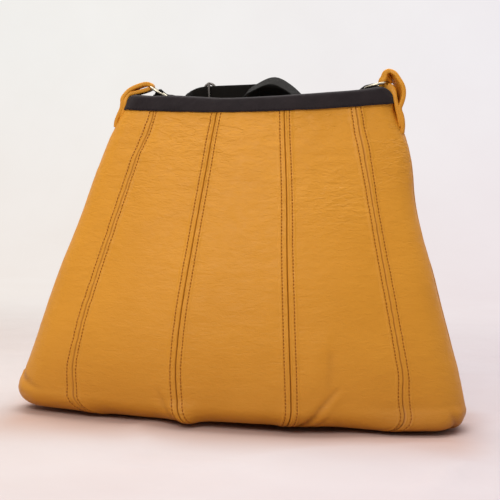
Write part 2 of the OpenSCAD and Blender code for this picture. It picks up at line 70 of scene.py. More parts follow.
def shell(side, u, j, off):
    """Points of the shell. u: panel coordinate, j: row value (0..1 base, 1..2 turn, 2..3 wall up to the
    binding's lower edge and on above it), off: depth below the outer surface. Arrays of one shape."""
    u, j, off = np.broadcast_arrays(*[np.asarray(v, float) for v in (u, j, off)])
    al = np.radians(90 * np.clip(j - 1, 0, 1))
    t = np.maximum(j - 2, 0)
    base = j < 1
    side_in = np.where(j < 2, off + (SIDE_IN - off) * (1 - np.sin(al)), off)
    front_in = np.where(j < 2, off + (FRONT_IN - off) * (1 - np.sin(al)), off)
    a, b, r = outline(t)
    a, b, r = a - side_in, b - front_in, r - side_in
    z = np.where(j < 2, off + (TURN_H - off) * (1 - np.cos(al)), TURN_H + (BODY_H - TURN_H) * t)
    a = np.where(base, BODY_W / 2 - SIDE_IN, a)
    b = np.where(base, (BODY_D / 2 - FRONT_IN) * np.clip(j, 0, 1), b)
    z = np.where(base, off, z)
    flat = b < 0.5
    bb = np.where(flat, 0.5, b)
    r = np.minimum(r, 0.9 * bb)
    big, turn, length = quarter(a, bb, r)
    s = np.clip(np.abs(u) / SIDE_U, 0, 1)
    q = s * length
    long_arc = q <= big * turn
    v = np.where(long_arc, q / big, turn + (q - big * turn) / r)
    x = np.where(long_arc, big * np.sin(v), a - r + r * np.sin(v))
    y = np.where(long_arc, big * np.cos(v) - big + bb, r * np.cos(v))
    x = np.where(flat | (s > 0.9999), a * s, x) * np.where(u < 0, -1, 1)
    y = np.where(flat | (s > 0.9999), 0, y)
    k = (z / BODY_H) ** 3
    e = np.clip((-x - BODY_W / 4) / (BODY_W / 4), 0, 1)
    lift = LIFT * e * e * np.clip(1 - z / (BODY_H / 2), 0, 1)
    zz = z - SAG * (1 - s * s) * k + TILT * x / (RIM_W / 2) * k + lift
    shift = SHIFT * np.maximum(z / BODY_H, 0) ** SHIFT_POWER
    return np.stack([x + shift, side * y + LEAN * z / BODY_H, zz], -1)


def wall_j(z):
    return 2 + (z - TURN_H) / (BODY_H - TURN_H)


RIM_LEN = float(quarter(RIM_W / 2, RIM_D / 2, RIM_R)[2])
LEFT_ROUND = 5.5


def rim_rise(u, left_round):
    """Share of its height that the rim keeps at u: it falls off in an arc by each side seam"""
    d = (RIM_LEN * (1 - np.abs(u) / SIDE_U) - 0.84 * STOP) / np.where(np.asarray(u) < 0, left_round, ROUND)
    return np.sqrt(np.clip(1 - (1 - np.clip(d, 0, 1)) ** 2, 0, 1))


def rim_point(side, u, h, off, left_round=ROUND):
    """Point of the rim, h above the wall; the binding's left end has a tighter arc of its own"""
    return shell(side, u, wall_j(BODY_H + h * rim_rise(u, left_round)), off)


# Side tabs and rings
RING_R, WIRE = 10.0, 2.2
LEFT_TILT, RIGHT_TILT = 30.0, 15.0


def tab_place(side, p):
    """Point from (inward, up), measured at the top of a side seam"""
    return shell(FRONT, side * SIDE_U, wall_j(BODY_H), 0) + np.array([-side * p[0], 0, p[1]])


def unit(v):
    """The vector, or each vector of a list, made 1 long"""
    return v / np.linalg.norm(v, axis=-1, keepdims=True)


def ring_centre(side, wire, tilt):
    return tab_place(side, (wire[0] + RING_R * cos_d(tilt), wire[1] - RING_R * sin_d(tilt)))


LEFT_RING = ring_centre(LEFT, (23, 20.1), LEFT_TILT)
RIGHT_RING = ring_centre(RIGHT, (6.2, 17.4), RIGHT_TILT)
# The webbing hangs on the backs of the rings
LEFT_HANG = LEFT_RING + (0, RING_R, 0)
RIGHT_HANG = RIGHT_RING + (0, RING_R, 0)
PIVOT = unit(RIGHT_HANG - LEFT_HANG)

# Strap
WEB_W, WEB_T, BUNCH, LEFT_TURN, RIGHT_TURN, WEB_GAP = 30.0, 1.4, 7.0, 4.4, 2.8, 0.5
BAND_DROP, BAND_BACK, BAND_RISE, SLIDER_X = 8.8, 37.0, 3.4, 47.5
HUMP_H, HUMP_X, LOOP_DROP = 17.0, 13.5, 190.0
RIGHT_SHIFT, RIGHT_BUNCH = 2.0, 5.2
STEP = WEB_T + WEB_GAP
BACK_Y = LEAN + RIM_D / 2
RIM_TOP = BODY_H + BIND_H
BAND_Y = BACK_Y + BAND_BACK
BAND_Z = RIM_TOP - BAND_DROP
BAND_DIR = np.array([cos_d(BAND_RISE), 0, sin_d(BAND_RISE)])
BAND_UP = np.array([-sin_d(BAND_RISE), 0, cos_d(BAND_RISE)])
SLIDER_AT = np.array([-SLIDER_X, BAND_Y, BAND_Z])


def at(p, d, w):
    """Row of a ribbon: place, direction across it, width and thickness; w is the share of the full width"""
    return [*p, *d, w * WEB_W, WEB_T]


def band_point(d):
    return SLIDER_AT + d * BAND_DIR


def back_y(z):
    """How far back the outside of the bag lies at a height, in the middle"""
    return float(LEAN * z / BODY_H + outline((z - TURN_H) / (BODY_H - TURN_H))[1])


def behind(x, z, gap, d):
    return at([x, back_y(z) + gap, z], d, 1)


def ribbon_axes(rows):
    """Directions out of the ribbon and across it at each row"""
    p = rows[:, :3]
    along = unit(np.vstack([p[1:2] - p[:1], p[2:] - p[:-2], p[-1:] - p[-2:-1]]))
    out = unit(np.cross(along, rows[:, 3:6]))
    return out, np.cross(out, along)


def layer(rows, d):
    """The rows moved by d out of the ribbon's plane"""
    rows = np.array(rows, float)
    rows[:, :3] += ribbon_axes(rows)[0] * d
    return rows


def ring_turn(pivot, d, r, v, w):
    """Row of the webbing where it turns round a ring, at the angle v"""
    return [*(pivot + (r + WEB_T / 2) * np.array([0, cos_d(v), sin_d(v)])), *d, w, WEB_T]


def smooth(rows, n):
    """Curve through the rows, with n steps from each row to the next"""
    rows = np.array(rows, float)
    p = np.vstack([rows[:1], rows, rows[-1:]])
    out = []
    for i in range(len(rows) - 1):
        for k in range(n):
            t = k / n
            p0, p1, p2, p3 = p[i], p[i + 1], p[i + 2], p[i + 3]
            out.append(0.5 * (2 * p1 + (p2 - p0) * t + (2 * p0 - 5 * p1 + 4 * p2 - p3) * t * t
                              + (3 * p1 - p0 - 3 * p2 + p3) * t ** 3))
    out.append(rows[-1])
    return np.array(out)


def doubled_rows():
    """Middle of the doubled stretch, from the left ring to just past the slider"""
    from_ring = [((2, 9, -0.8), PIVOT, 0.3), ((3.5, 16.5, -2.5), [1, -0.1, 0], 0.4),
                 ((6, 23, -6), [1, -0.3, 0.4], 0.55), ((10, 33, -10), [0.7, -0.4, 0.8], 0.75),
                 ((15, 44, -9), [0.2, -0.2, 1], 0.93)]
    return [*[at(LEFT_HANG + p, d, w) for p, d, w in from_ring],
            at(band_point(-13) - (0, 1, 0.8), [-0.05, -0.03, 1], 1),
            *[at(band_point(d), BAND_UP, 1) for d in (-6, 8, 24)]]


def single_rows():
    """From the band down behind the bag in a loop, up again and over the arch"""
    bend, drop, rise, low = 20.0, 32.0, -25.0, RIM_TOP - LOOP_DROP
    near, far = 9.0, 23.0
    low_y = back_y(low) + 19
    hump_y, hump_z = BACK_Y + 17.3, RIM_TOP - SAG + HUMP_H
    mid = (RIM_TOP - LOOP_DROP + RIM_TOP) / 2
    band = [at(band_point(d) + (0, STEP / 2, 0), BAND_UP, 1) for d in (36, 46)]
    over = [at([drop - bend + bend * cos_d(v), BAND_Y, BAND_Z + 2.2 - bend + bend * sin_d(v)],
               [cos_d(v), 0, sin_d(v)], 1) for v in (65, 40, 15)]
    down = [at([drop + 1, BAND_Y - 3, BAND_Z - 42], [1, 0, 0], 1),
            behind(drop + 2, mid + 5, far, [1, 0, 0]), behind(drop + 2, mid - 32, far, [1, -0.1, 0]),
            at([drop, low_y + 3, low + 32], [0.7, -0.7, 0], 1),
            at([drop - 11, low_y, low + 8], [0.2, -1, 0], 1),
            at([(drop + rise) / 2, low_y, low], [0, -1, 0], 1)]
    up = [at([rise + 9, low_y - 1, low + 9], [-0.2, -1, 0], 1),
          at([rise - 1, low_y - 4, low + 34], [-0.7, -0.6, 0], 1),
          behind(rise - 3, mid - 27, near, [-1, -0.1, 0]), behind(rise - 3, mid + 12, near, [-1, 0, 0]),
          behind(rise - 2, RIM_TOP - 50, near + 4, [-0.8, -0.6, 0]),
          at([rise + 4, hump_y, RIM_TOP - 26], [-0.2, -1, 0], 1)]
    arch = [(-26, -14, -0.15), (-15, -5, -0.2), (-1, 0, -0.22), (13, -6, -0.2), (25, -16, -0.1)]
    return [*band, *over, *down, *up,
            *[at([HUMP_X + a, hump_y, hump_z + b], [0, -1, c], 1) for a, b, c in arch],
            at([HUMP_X + 36, hump_y - 2, hump_z - 26], [0.3, -1, 0.3], 0.97),
            at([HUMP_X + 50, BACK_Y + 12, RIM_TOP - 23], [0.3, -0.8, 0.9], 0.9)]


def right_rows():
    """Middle of the webbing's two layers by the right ring"""
    to_ring = [((-28, 26, -24), [-0.3, -0.3, 1], 0.83), ((-20, 25, -18), [-0.6, -0.2, 0.9], 0.7),
               ((-12, 22, -8), [-0.9, -0.2, 0.5], 0.5), ((-7.5, 15.5, -2), [-1, 0, 0.1], 0.32),
               ((-3.5, 8.5, 0.2), -PIVOT, 0.2)]
    return [at(RIGHT_HANG + p, d, w) for p, d, w in to_ring]


def strap_rows():
    """Rows of the whole webbing, as in the part, from its free end on the band"""
    doubled, right_end = doubled_rows(), right_rows()
    free_end = [at(band_point(d), BAND_UP, 1) for d in (36, 46)]
    turn = range(-90, -271, -36)
    right_pivot = RIGHT_HANG - RIGHT_SHIFT * PIVOT
    rows = [*layer(doubled + free_end, STEP / 2)[::-1],
            *[ring_turn(LEFT_HANG, PIVOT, LEFT_TURN, v - 5, BUNCH) for v in turn],
            *layer(doubled, -STEP / 2), *single_rows(), *layer(right_end, STEP / 2),
            *[ring_turn(right_pivot, -PIVOT, RIGHT_TURN, v - 4, RIGHT_BUNCH) for v in turn],
            *layer(right_end, -STEP / 2)[::-1]]
    return np.array([list(r) for r in rows], float)


# Value noise on a seeded lattice, for creases and undulations in the leather
CELLS = 64
RNG = np.random.default_rng(20)
LATTICE = RNG.random((CELLS, CELLS, CELLS)) * 2 - 1


def noise(p, scale):
    """Noise from -1 to 1 at points in millimetres; scale is one over the size of a cell"""
    q = np.asarray(p) * scale
    i = np.floor(q).astype(int)
    f = q - i
    f = f * f * (3 - 2 * f)
    share = (1 - f, f)
    out = 0
    for dx in (0, 1):
        for dy in (0, 1):
            for dz in (0, 1):
                w = share[dx][..., 0] * share[dy][..., 1] * share[dz][..., 2]
                corner = (i + np.array([dx, dy, dz])) % CELLS
                out = out + w * LATTICE[corner[..., 0], corner[..., 1], corner[..., 2]]
    return out


def step(a, b, x):
    """Soft step from 0 at a to 1 at b"""
    t = np.clip((x - a) / (b - a), 0, 1)
    return t * t * (3 - 2 * t)


def bell(x, width):
    """Soft hump, 1 where x is 0"""
    return np.exp(-(x / width) ** 2)


def row_len(j):
    """Millimetres of outline per panel coordinate on a row"""
    t = np.maximum(np.asarray(j, float) - 2, 0)
    return quarter(*outline(t))[2] / SIDE_U


def row_height(j):
    """Height of a row of the turn or the wall"""
    return np.where(j > 2, TURN_H + (BODY_H - TURN_H) * (j - 2), TURN_H * np.clip(j - 1, 0, 1))


def seam_gap(u, mm):
    """Distance from the nearest seam between panels; mm is the row_len of the row"""
    return np.minimum(np.abs(np.abs(u) - 0.5), np.abs(np.abs(u) - 1.5)) * mm


def noise_place(across, up, layer):
    """Points to read the noise at; each side and each use has a layer of its own"""
    return np.stack([across, up, np.full_like(up, layer)], -1)


# Distance of the stitch rows from each seam, at the rim and at the base, and from stitch to stitch
PITCHES = ((2.9, 4.1), (4.0, 4.6), (4.1, 5.0), (3.9, 4.4))
STITCH_PITCH = 2.85
# Height just under the binding, where the wall's looks end
WALL_TOP = 262.0
# Shifts that bend the seams and the outline as in the photo: heights, then millimetres to the right
WARP_U = np.array([-SIDE_U, -1.8, -1.5, -0.5, 0.5, 1.5, 1.8, SIDE_U])
WARP_Z = np.array([0, 4, 15, 30, 45, 80, 100, 125, 150, 172, 185, 195, 205, 217, 228, 240, WALL_TOP])
WARP_SIDE_L = np.array([0, 0, 0, 0, 0, -0.8, -1.6, -2.2, -1.2, -1.2, -1.6, -1.7, -1.6, -1.4, -1.2, -0.8, 1.0])
WARP_1 = np.array([14.5, 12.7, 10.5, 4.6, 0.8, -1.2, -1.2, -1.0, -0.6, -0.3, 0, 0, 0, 0, 0.4, 2.6, -0.6])
WARP_2 = np.array([7.8, 6.3, 4.9, 1.6, -0.6, -2.0, -2.0, -1.6, -1.2, -0.9, -0.8, -0.8, -0.9, -1.1, -1.3, -1.6,
                   -2.0])
WARP_3 = np.array([0.4, 0.3, 0, 0.4, 0.5, 0.4, 0.3, 0, 0, 0.1, 0, -0.2, -0.5, -1.0, -1.6, -2.2, -3.1])
WARP_4 = np.array([-1, -2.2, -7, -4.5, -0.6, 0, 0, 0, 0, 0, 0, 0, 0, -0.2, -0.4, -0.8, -1.2])
WARP_SIDE_R = np.array([1, -1, -2.4, -1.0, 0, 0, 0, 0.3, -1.3, -1.6, -0.8, 0.6, 2.6, 4.3, 5.0, 4.4, 0])
WARP_FINE_Z = np.arange(-20, 284.0)
KERNEL = np.exp(-(np.arange(-12, 13) / 4.5) ** 2 / 2)
WARP = [np.convolve(np.pad(np.interp(WARP_FINE_Z, WARP_Z, w), 12, mode="edge"), KERNEL / KERNEL.sum(),
                    "valid")
        for w in (WARP_SIDE_L, WARP_SIDE_L, WARP_1, WARP_2, WARP_3, WARP_4, WARP_SIDE_R, WARP_SIDE_R)]


def warp(side, u, p):
    """Bends points of the shell sideways, and draws the lower front in where it turns under"""
    u = np.broadcast_to(u, p.shape[:-1])
    z = np.clip(p[..., 2], 0, WALL_TOP)
    rows = np.stack([np.interp(z, WARP_FINE_Z, w) for w in WARP], -1)
    k = np.clip(np.searchsorted(WARP_U, u) - 1, 0, len(WARP_U) - 2)
    t = np.clip((u - WARP_U[k]) / (WARP_U[k + 1] - WARP_U[k]), 0, 1)
    before, after = (np.take_along_axis(rows, k[..., None] + more, -1)[..., 0] for more in (0, 1))
    edge = step(0, 0.35, SIDE_U - np.abs(u))
    belly = 5.5 * np.clip(1 - z / 70, 0, 1) ** 1.6 * edge
    tucks = 13 * bell(u + 0.5, 0.14) + 5 * bell(u - 0.5, 0.12) + 15 * step(0.9, 1.6, u) * edge
    tucks = tucks + 5 * bell(u + 1.5, 0.14)
    out = p.copy()
    out[..., 0] += before * (1 - t) + after * t
    out[..., 1] -= side * (belly - np.clip(1 - z / 21, 0, 1) ** 1.6 * tucks)
    return out


def near_row(u, z):
    """Distance of the nearest seam's stitch rows from it"""
    k = np.clip(np.round(u + 1.5), 0, 3).astype(int)
    top, low = np.array(PITCHES)[k, 0], np.array(PITCHES)[k, 1]
    return low + (top - low) * np.clip(z / WALL_TOP, 0, 1)


# Creases near the base: side, start and end as (panel coordinate, height), depth, half width
CREASE_MM = 90.0
CREASES = [(FRONT, (0.63, 4), (0.93, 36), 1.7, 2.2), (FRONT, (0.70, 2), (0.84, 14), 0.9, 1.8),
           (FRONT, (2.06, 4), (1.84, 16), 1.4, 1.8), (FRONT, (-2.10, 27), (-1.72, 18), 1.5, 2.6),
           (FRONT, (-0.58, 4), (-0.68, 30), 0.8, 3.0), (FRONT, (0.86, 60), (0.82, 28), 0.5, 5.0),
           (BACK, (-0.7, 5), (-0.92, 30), 1.3, 3.2), (BACK, (1.95, 8), (1.75, 20), 1.0, 2.6),
           (BACK, (0.66, 6), (0.75, 24), 0.8, 3.0)]


def crease_field(side, u, z):
    """Height and painted shade of the creases listed in CREASES; CREASE_MM is the width that a panel counts
    for
    """
    d, crease_shade = np.zeros(u.shape), np.zeros(u.shape)
    for s, a, b, depth, half in CREASES:
        if s != side:
            continue
        ax, az, bx, bz = a[0] * CREASE_MM, a[1], b[0] * CREASE_MM, b[1]
        px, pz = u * CREASE_MM, z
        t = np.clip(((px - ax) * (bx - ax) + (pz - az) * (bz - az)) / ((bx - ax) ** 2 + (bz - az) ** 2), 0, 1)
        dx, dz = px - (ax + t * (bx - ax)), pz - (az + t * (bz - az))
        cross = (px - ax) * (bz - az) - (pz - az) * (bx - ax)
        off = np.sign(cross) * np.hypot(dx, dz)
        fade = np.clip(1 - t, 0, 1) ** 0.5
        d = d - fade * depth * bell(off, half) + fade * 0.7 * depth * bell(off - 2.2 * half, 1.6 * half)
        # Painted shade along the middle of each crease
        crease_shade = crease_shade + fade * 0.25 * depth * bell(off, 0.6 * half)
    return d, crease_shade


def relief(side, u, j):
    """How far the leather stands out of the plain shell, in millimetres"""
    u, j = np.broadcast_arrays(np.asarray(u, float), np.asarray(j, float))
    mm, z = row_len(j), row_height(j)
    seam, side_seam, row = seam_gap(u, mm), (SIDE_U - np.abs(u)) * mm, near_row(u, z)
    wall = step(0.9, 1.7, j) * (1 - step(2.98, 3.02, j))
    top = step(170, WALL_TOP, z)
    d = -1.0 * bell(seam, 0.45) - 0.35 * bell(seam, 1.7) + 0.4 * step(row + 3.2, row + 1.2, seam)
    d = d - 0.3 * bell(seam - row, 0.7) - 0.9 * bell(side_seam, 1.2)
    p = noise_place(u * mm, z, 37.0 * side)
    # Broad softness, then short creases that run across the panels, stronger near the rim and seams
    soft = 1.5 * noise(p + 11, 1 / 85) + 0.55 * noise(p + 57, 1 / 34)
    across = noise(p * np.array([1, 2.4, 1]) + 3.7 * noise(p, 1 / 21)[..., None] + 91, 1 / 19)
    fine = noise(p * np.array([1, 1.9, 1]) + 2.2 * noise(p, 1 / 9)[..., None] + 17, 1 / 8.5)
    near = np.clip(np.exp(-(seam - row) / 13), 0, 1)
    crease = -np.abs(across) ** 0.8 * (0.10 + 0.30 * top + 0.16 * near) * 1.3
    crease = crease + fine * (0.09 + 0.16 * top + 0.09 * near)
    # Puckers across the rows of stitches, and the leather gathered under the binding
    wave = 2 * np.pi / STITCH_PITCH
    pucker = 0.12 * np.sin(z * wave + 3 * noise(p, 1 / 12)) * bell(seam - row, 2.0)
    gather = 0.12 * top * np.sin(u * mm * 2 * np.pi / 13 + 4 * noise(p, 1 / 30)) * step(225, WALL_TOP, z)
    d = d + wall * (soft * step(0, 12, seam + 3) + crease + pucker + gather * step(3, 10, seam))
    return d + crease_field(side, u, z)[0]


def dark(side, u, j):
    """Where painted shade darkens the leather: in the seams, stitch rows and creases, in the tucked lower
    right corner and towards the base
    """
    u, j = np.broadcast_arrays(np.asarray(u, float), np.asarray(j, float))
    mm, z = row_len(j), row_height(j)
    seam = seam_gap(u, mm)
    # Painted shade in the seam valleys, along the stitch rows and by the side seams
    d = 0.75 * bell(seam, 0.42) + 0.05 * bell(seam - near_row(u, z), 0.6)
    d = d + 0.6 * bell((SIDE_U - np.abs(u)) * mm, 0.8)
    # Painted shade towards the base, and in the tucked lower right corner
    d = d + 0.30 * np.exp(-(z / 62) ** 1.3) + 0.32 * np.clip(1 - z / 26, 0, 1) * step(0.9, 1.6, u)
    # Painted shade in the creases
    return np.clip(d + np.clip(crease_field(side, u, z)[1], 0, 0.5), 0, 1)


def wrinkled(side, u, j):
    """Where the fine wrinkles lie: below the rim and beside the seams, in patches"""
    mm = row_len(j)
    z = np.where(j > 2, row_height(j), 5.0)
    seam = seam_gap(u, mm)
    patch = 0.5 + 0.9 * noise(noise_place(u * mm, z, 5.0 * side), 1 / 45)
    w = 0.22 + 0.78 * step(150, 255, z) * np.clip(patch + 0.25, 0.1, 1)
    w = w + 0.3 * np.exp(-seam / 16) * np.clip(patch, 0, 1)
    w = w + 0.5 * bell(u - 1.1, 0.35) * bell(z - 185, 30)
    return np.clip(w, 0, 1) * step(1.2, 2.4, seam)


def skin_point(side, u, j, lift=0.0):
    """Point of the leather's face, lifted off it by lift"""
    return warp(side, u, shell(side, u, j, -(relief(side, u, j) + lift)))


def add_object(name, data):
    obj = bpy.data.objects.new(name, data)
    bpy.context.scene.collection.objects.link(obj)
    return obj


def add_mesh(name, points, faces, material, flat_from=None):
    """Mesh from points in metres, smooth up to the face flat_from"""
    data = bpy.data.meshes.new(name)
    data.from_pydata(points.tolist(), [], [list(map(int, f)) for f in faces])
    count = len(data.polygons)
    data.polygons.foreach_set("use_smooth", np.arange(count) < (flat_from or count))
    data.update()
    data.materials.append(material)
    return add_object(name, data)


def make(name, verts, faces, material, body, slot, nodes=(), uv=None, flat_from=None):
    """A mesh piece from points in millimetres; it takes its CAD nodes' place and moves with a body"""
    obj = add_mesh(name, verts / 1000.0, faces, material, flat_from)
    if uv is not None:
        idx = np.empty(len(obj.data.loops), int)
        obj.data.loops.foreach_get("vertex_index", idx)
        obj.data.uv_layers.new(name="UVMap").data.foreach_set("uv", uv[idx].ravel())
    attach(obj, body)
    if nodes:
        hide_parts(*nodes)
    return obj


def grid_faces(m, n, start=0, wrap=False, flip=False):
    """Quads of a grid of m rows and n columns; wrap closes each row"""
    i, k = np.meshgrid(np.arange(m - 1), np.arange(n if wrap else n - 1), indexing="ij")
    k2 = (k + 1) % n
    a, b, c, d = i * n + k, i * n + k2, (i + 1) * n + k2, (i + 1) * n + k
    f = np.stack([a, d, c, b] if flip else [a, b, c, d], -1).reshape(-1, 4) + start
    return f.tolist()


def slab(outer, inner, flip):
    """Closed piece between two grids of points; the last value is the number of its first edge face"""
    m, n = outer.shape[:2]
    k = m * n
    faces = grid_faces(m, n, 0, False, flip) + grid_faces(m, n, k, False, not flip)
    edge = len(faces)
    ring = [*range(n), *[i * n + n - 1 for i in range(1, m)],
            *[(m - 1) * n + i for i in range(n - 2, -1, -1)], *[i * n for i in range(m - 2, 0, -1)]]
    for a, b in zip(ring, ring[1:] + ring[:1]):
        faces.append([a, a + k, b + k, b] if not flip else [b, b + k, a + k, a])
    return np.concatenate([outer.reshape(-1, 3), inner.reshape(-1, 3)]), faces, edge


def pipe_faces(n, sides, closed=False):
    """Faces round n rings of points, joined end to end or else capped"""
    if closed:
        return [[i % (n * sides) for i in q] for q in grid_faces(n + 1, sides, 0, True)]
    last = (n - 1) * sides
    return grid_faces(n, sides, 0, True) + [list(range(sides))[::-1], list(range(last, last + sides))]


def circle(a, b, sides):
    """Directions round a circle from a towards b, which are lists of vectors or one vector each"""
    ang = np.linspace(0, 2 * np.pi, sides, endpoint=False)[:, None]
    return a[..., None, :] * np.cos(ang) + b[..., None, :] * np.sin(ang)


def tube(points, radius, sides, closed=False):
    """Round wire along points; radius may be one value or one per point"""
    p = np.asarray(points, float)
    t = unit(np.roll(p, -1, 0) - np.roll(p, 1, 0) if closed else np.gradient(p, axis=0))
    a = np.cross(t[0], (0.0, 0.0, 1.0) if abs(t[0][2]) < 0.9 else (0.0, 1.0, 0.0))
    beside = []
    for along in t:
        a = unit(a - along * (a @ along))
        beside.append(a)
    spokes = circle(np.array(beside), np.cross(t, beside), sides)
    r = np.broadcast_to(radius, len(p))[:, None, None]
    return (p[:, None] + r * spokes).reshape(-1, 3), pipe_faces(len(p), sides, closed)


def lathe(profile, foot, axis, sides=48):
    """Turned piece from (radius, height) pairs, the first and last on the axis or in one place"""
    axis = unit(np.asarray(axis, float))
    a = unit(np.cross(axis, [1, 0, 0.1]))
    spokes = circle(a, np.cross(axis, a), sides)
    rings = [foot + h * axis + max(r, 1e-4) * spokes for r, h in profile]
    return np.concatenate(rings), grid_faces(len(profile), sides, 0, True)


def join(parts):
    """One set of points and faces from several"""
    verts, faces, k = [], [], 0
    for v, f in parts:
        verts.append(v)
        faces += [[i + k for i in q] for q in f]
        k += len(v)
    return np.concatenate(verts), faces


def reach(points):
    """How far along the points each of them lies"""
    return np.concatenate([[0], np.cumsum(np.linalg.norm(np.diff(points, axis=0), axis=1))])


# Materials, all procedural
def new_material(name):
    m = bpy.data.materials.new(name)
    m.use_nodes = True
    nt = m.node_tree
    return m, nt, nt.nodes["Principled BSDF"]


def connect(source, target):
    """Links a socket to an input, or sets the input where source is a plain value"""
    if isinstance(source, bpy.types.NodeSocket):
        target.id_data.links.new(source, target)
    else:
        target.default_value = source


def set_inputs(node, **values):
    """Links or sets a node's inputs by name, with _ for a space"""
    for name, value in values.items():
        connect(value, node.inputs[name.replace("_", " ")])
    return node


def new_node(near, kind, **inputs):
    """Node in the same tree as the socket, node or tree near, with its inputs linked or set"""
    return set_inputs(near.id_data.nodes.new("ShaderNode" + kind), **inputs)


def coordinates(nt, kind="Object"):
    return new_node(nt, "TexCoord").outputs[kind]


def texture(kind, place, **inputs):
    """Height of a texture of a kind, read at place"""
    node = new_node(place, "Tex" + kind, Vector=place, **inputs)
    return node.outputs["Distance" if kind == "Voronoi" else "Fac"]


def attribute(nt, name):
    """Value that the mesh carries for each point"""
    node = new_node(nt, "Attribute")
    node.attribute_name = name
    return node.outputs["Fac"]


def math_node(kind, a, b=None):
    node = new_node(a, "Math")
    node.operation = kind
    connect(a, node.inputs[0])
    if b is not None:
        connect(b, node.inputs[1])
    return node.outputs[0]


def map_range(value, low, high, kind="LINEAR"):
    """0 to 1 as value goes from low to high"""
    node = new_node(value, "MapRange", Value=value, From_Min=low, From_Max=high)
    node.interpolation_type = kind
    return node.outputs["Result"]


def mix_colors(factor, a, b, kind="MIX"):
    """Colour between a, a socket, and b; b and the factor may be sockets or plain values"""
    node = new_node(a, "Mix")
    node.data_type, node.blend_type = "RGBA", kind
    connect(factor, node.inputs["Factor"])
    connect(a, node.inputs[6])
    connect(b, node.inputs[7])
    return node.outputs[2]


def ramp(source, low, high, a=0.3, b=0.7):
    """Colour from low to high as source goes from a to b"""
    node = new_node(source, "ValToRGB", Fac=source)
    for point, place, color in zip(node.color_ramp.elements, (a, b), (low, high)):
        point.position, point.color = place, (*color, 1)
    return node.outputs["Color"]


def bump(bsdf, heights):
    """Chain of bumps: each height with its distance in metres and strength"""
    for height, distance, strength in heights:
        node = new_node(bsdf, "Bump", Height=height, Distance=distance, Strength=strength)
        for link in bsdf.inputs["Normal"].links:
            set_inputs(node, Normal=link.from_socket)
        set_inputs(bsdf, Normal=node.outputs["Normal"])


def leather_material():
    """Tan leather: clouded, pored and grained, with painted shade and wrinkles where the mesh says so"""
    m, nt, bsdf = new_material("tan leather")
    place = coordinates(nt)
    cloud = texture("Noise", place, Scale=14.0, Detail=4.0, Roughness=0.55)
    grain = texture("Noise", place, Scale=1500.0, Detail=3.0, Roughness=0.6)
    pores = texture("Voronoi", place, Scale=900.0)
    ripple = texture("Noise", place, Scale=120.0, Detail=3.0, Roughness=0.5, Distortion=0.6)
    base = ramp(cloud, (0.650, 0.270, 0.0185), (0.705, 0.300, 0.0235))
    # Brown of the painted shade that the mesh's dark value mixes in: seams, stitch rows, creases, the tucked
    # corner and the base
    painted_shade_brown = (0.22, 0.062, 0.008, 1)
    set_inputs(bsdf, Base_Color=mix_colors(attribute(nt, "dark"), base, painted_shade_brown),
               Roughness=ramp(ripple, (0.44,) * 3, (0.57,) * 3), Specular_IOR_Level=0.26)
    stretch = new_node(nt, "Mapping", Vector=place, Scale=(1.0, 1.0, 2.9))
    wrinkle = texture("Noise", stretch.outputs[0], Scale=112.0, Detail=3.0, Roughness=0.5, Distortion=0.9)
    amount = math_node("MULTIPLY", wrinkle, attribute(nt, "wrinkle"))
    bump(bsdf, [(amount, 0.0018, 0.85), (ripple, 0.0006, 0.3), (pores, 0.00012, 0.5), (grain, 0.00008, 0.55)])
    return m


def cloth_material(name, low, high, scale, sheen):
    """Plain cloth between two close colours, its weave at a scale"""
    m, nt, bsdf = new_material(name)
    place = coordinates(nt)
    weave = texture("Voronoi", place, Scale=scale)
    cloud = texture("Noise", place, Scale=45.0, Detail=3.0)
    set_inputs(bsdf, Base_Color=ramp(cloud, low, high), Roughness=0.85, Specular_IOR_Level=0.25,
               Sheen_Weight=sheen, Sheen_Roughness=0.4)
    bump(bsdf, [(weave, 0.00025, 0.6), (cloud, 0.0008, 0.3)])
    return m


def webbing_material():
    """Dark webbing with ribs across, along and slantwise, laid by the ribbon's own millimetres"""
    m, nt, bsdf = new_material("webbing")
    place = coordinates(nt, "UV")
    ribs = {}
    for way, scale, distortion in (("X", 0.5, 0.2), ("Y", 0.62, 0.4), ("DIAGONAL", 0.28, 0.5)):
        ribs[way] = texture("Wave", place, Scale=scale, Distortion=distortion)
        ribs[way].node.bands_direction = way
    color = ramp(ribs["DIAGONAL"], (0.004, 0.003, 0.002), (0.012, 0.010, 0.008), 0.0, 1.0)
    set_inputs(bsdf, Base_Color=color, Roughness=0.8, Specular_IOR_Level=0.12, Sheen_Weight=0.03)
    bump(bsdf, [(ribs["X"], 0.00025, 0.7), (ribs["Y"], 0.00030, 0.8)])
    return m


def metal_material(name, color, rough):
    m, nt, bsdf = new_material(name)
    scuffs = texture("Noise", coordinates(nt), Scale=400.0, Detail=2.0)
    roughness = ramp(scuffs, (rough * 0.7,) * 3, (rough * 1.4,) * 3)
    set_inputs(bsdf, Base_Color=(*color, 1), Roughness=roughness, Metallic=1.0)
    return m


def thread_material(name, color):
    m, nt, bsdf = new_material(name)
    fluff = texture("Noise", coordinates(nt), Scale=2500.0, Detail=1.0)
    low, high = (tuple(c * share for c in color) for share in (0.7, 1.25))
    set_inputs(bsdf, Base_Color=ramp(fluff, low, high), Roughness=0.75, Specular_IOR_Level=0.15)
    return m


LEATHER_M = leather_material()
BINDING_M = cloth_material("binding cloth", (0.010, 0.006, 0.007), (0.017, 0.011, 0.012), 1500.0, 0.15)
LINING_M = cloth_material("lining cloth", (0.070, 0.060, 0.060), (0.095, 0.082, 0.082), 1300.0, 0.25)
WEBBING_M = webbing_material()
METAL_M = metal_material("plated wire", (0.42, 0.38, 0.29), 0.2)
SLIDER_M = metal_material("dark plated wire", (0.12, 0.11, 0.10), 0.3)
SNAP_M = metal_material("plated snap", (0.62, 0.60, 0.56), 0.28)
THREAD_M = thread_material("rust brown thread", (0.290, 0.085, 0.010))
DARK_THREAD_M = thread_material("dark thread", (0.016, 0.012, 0.013))

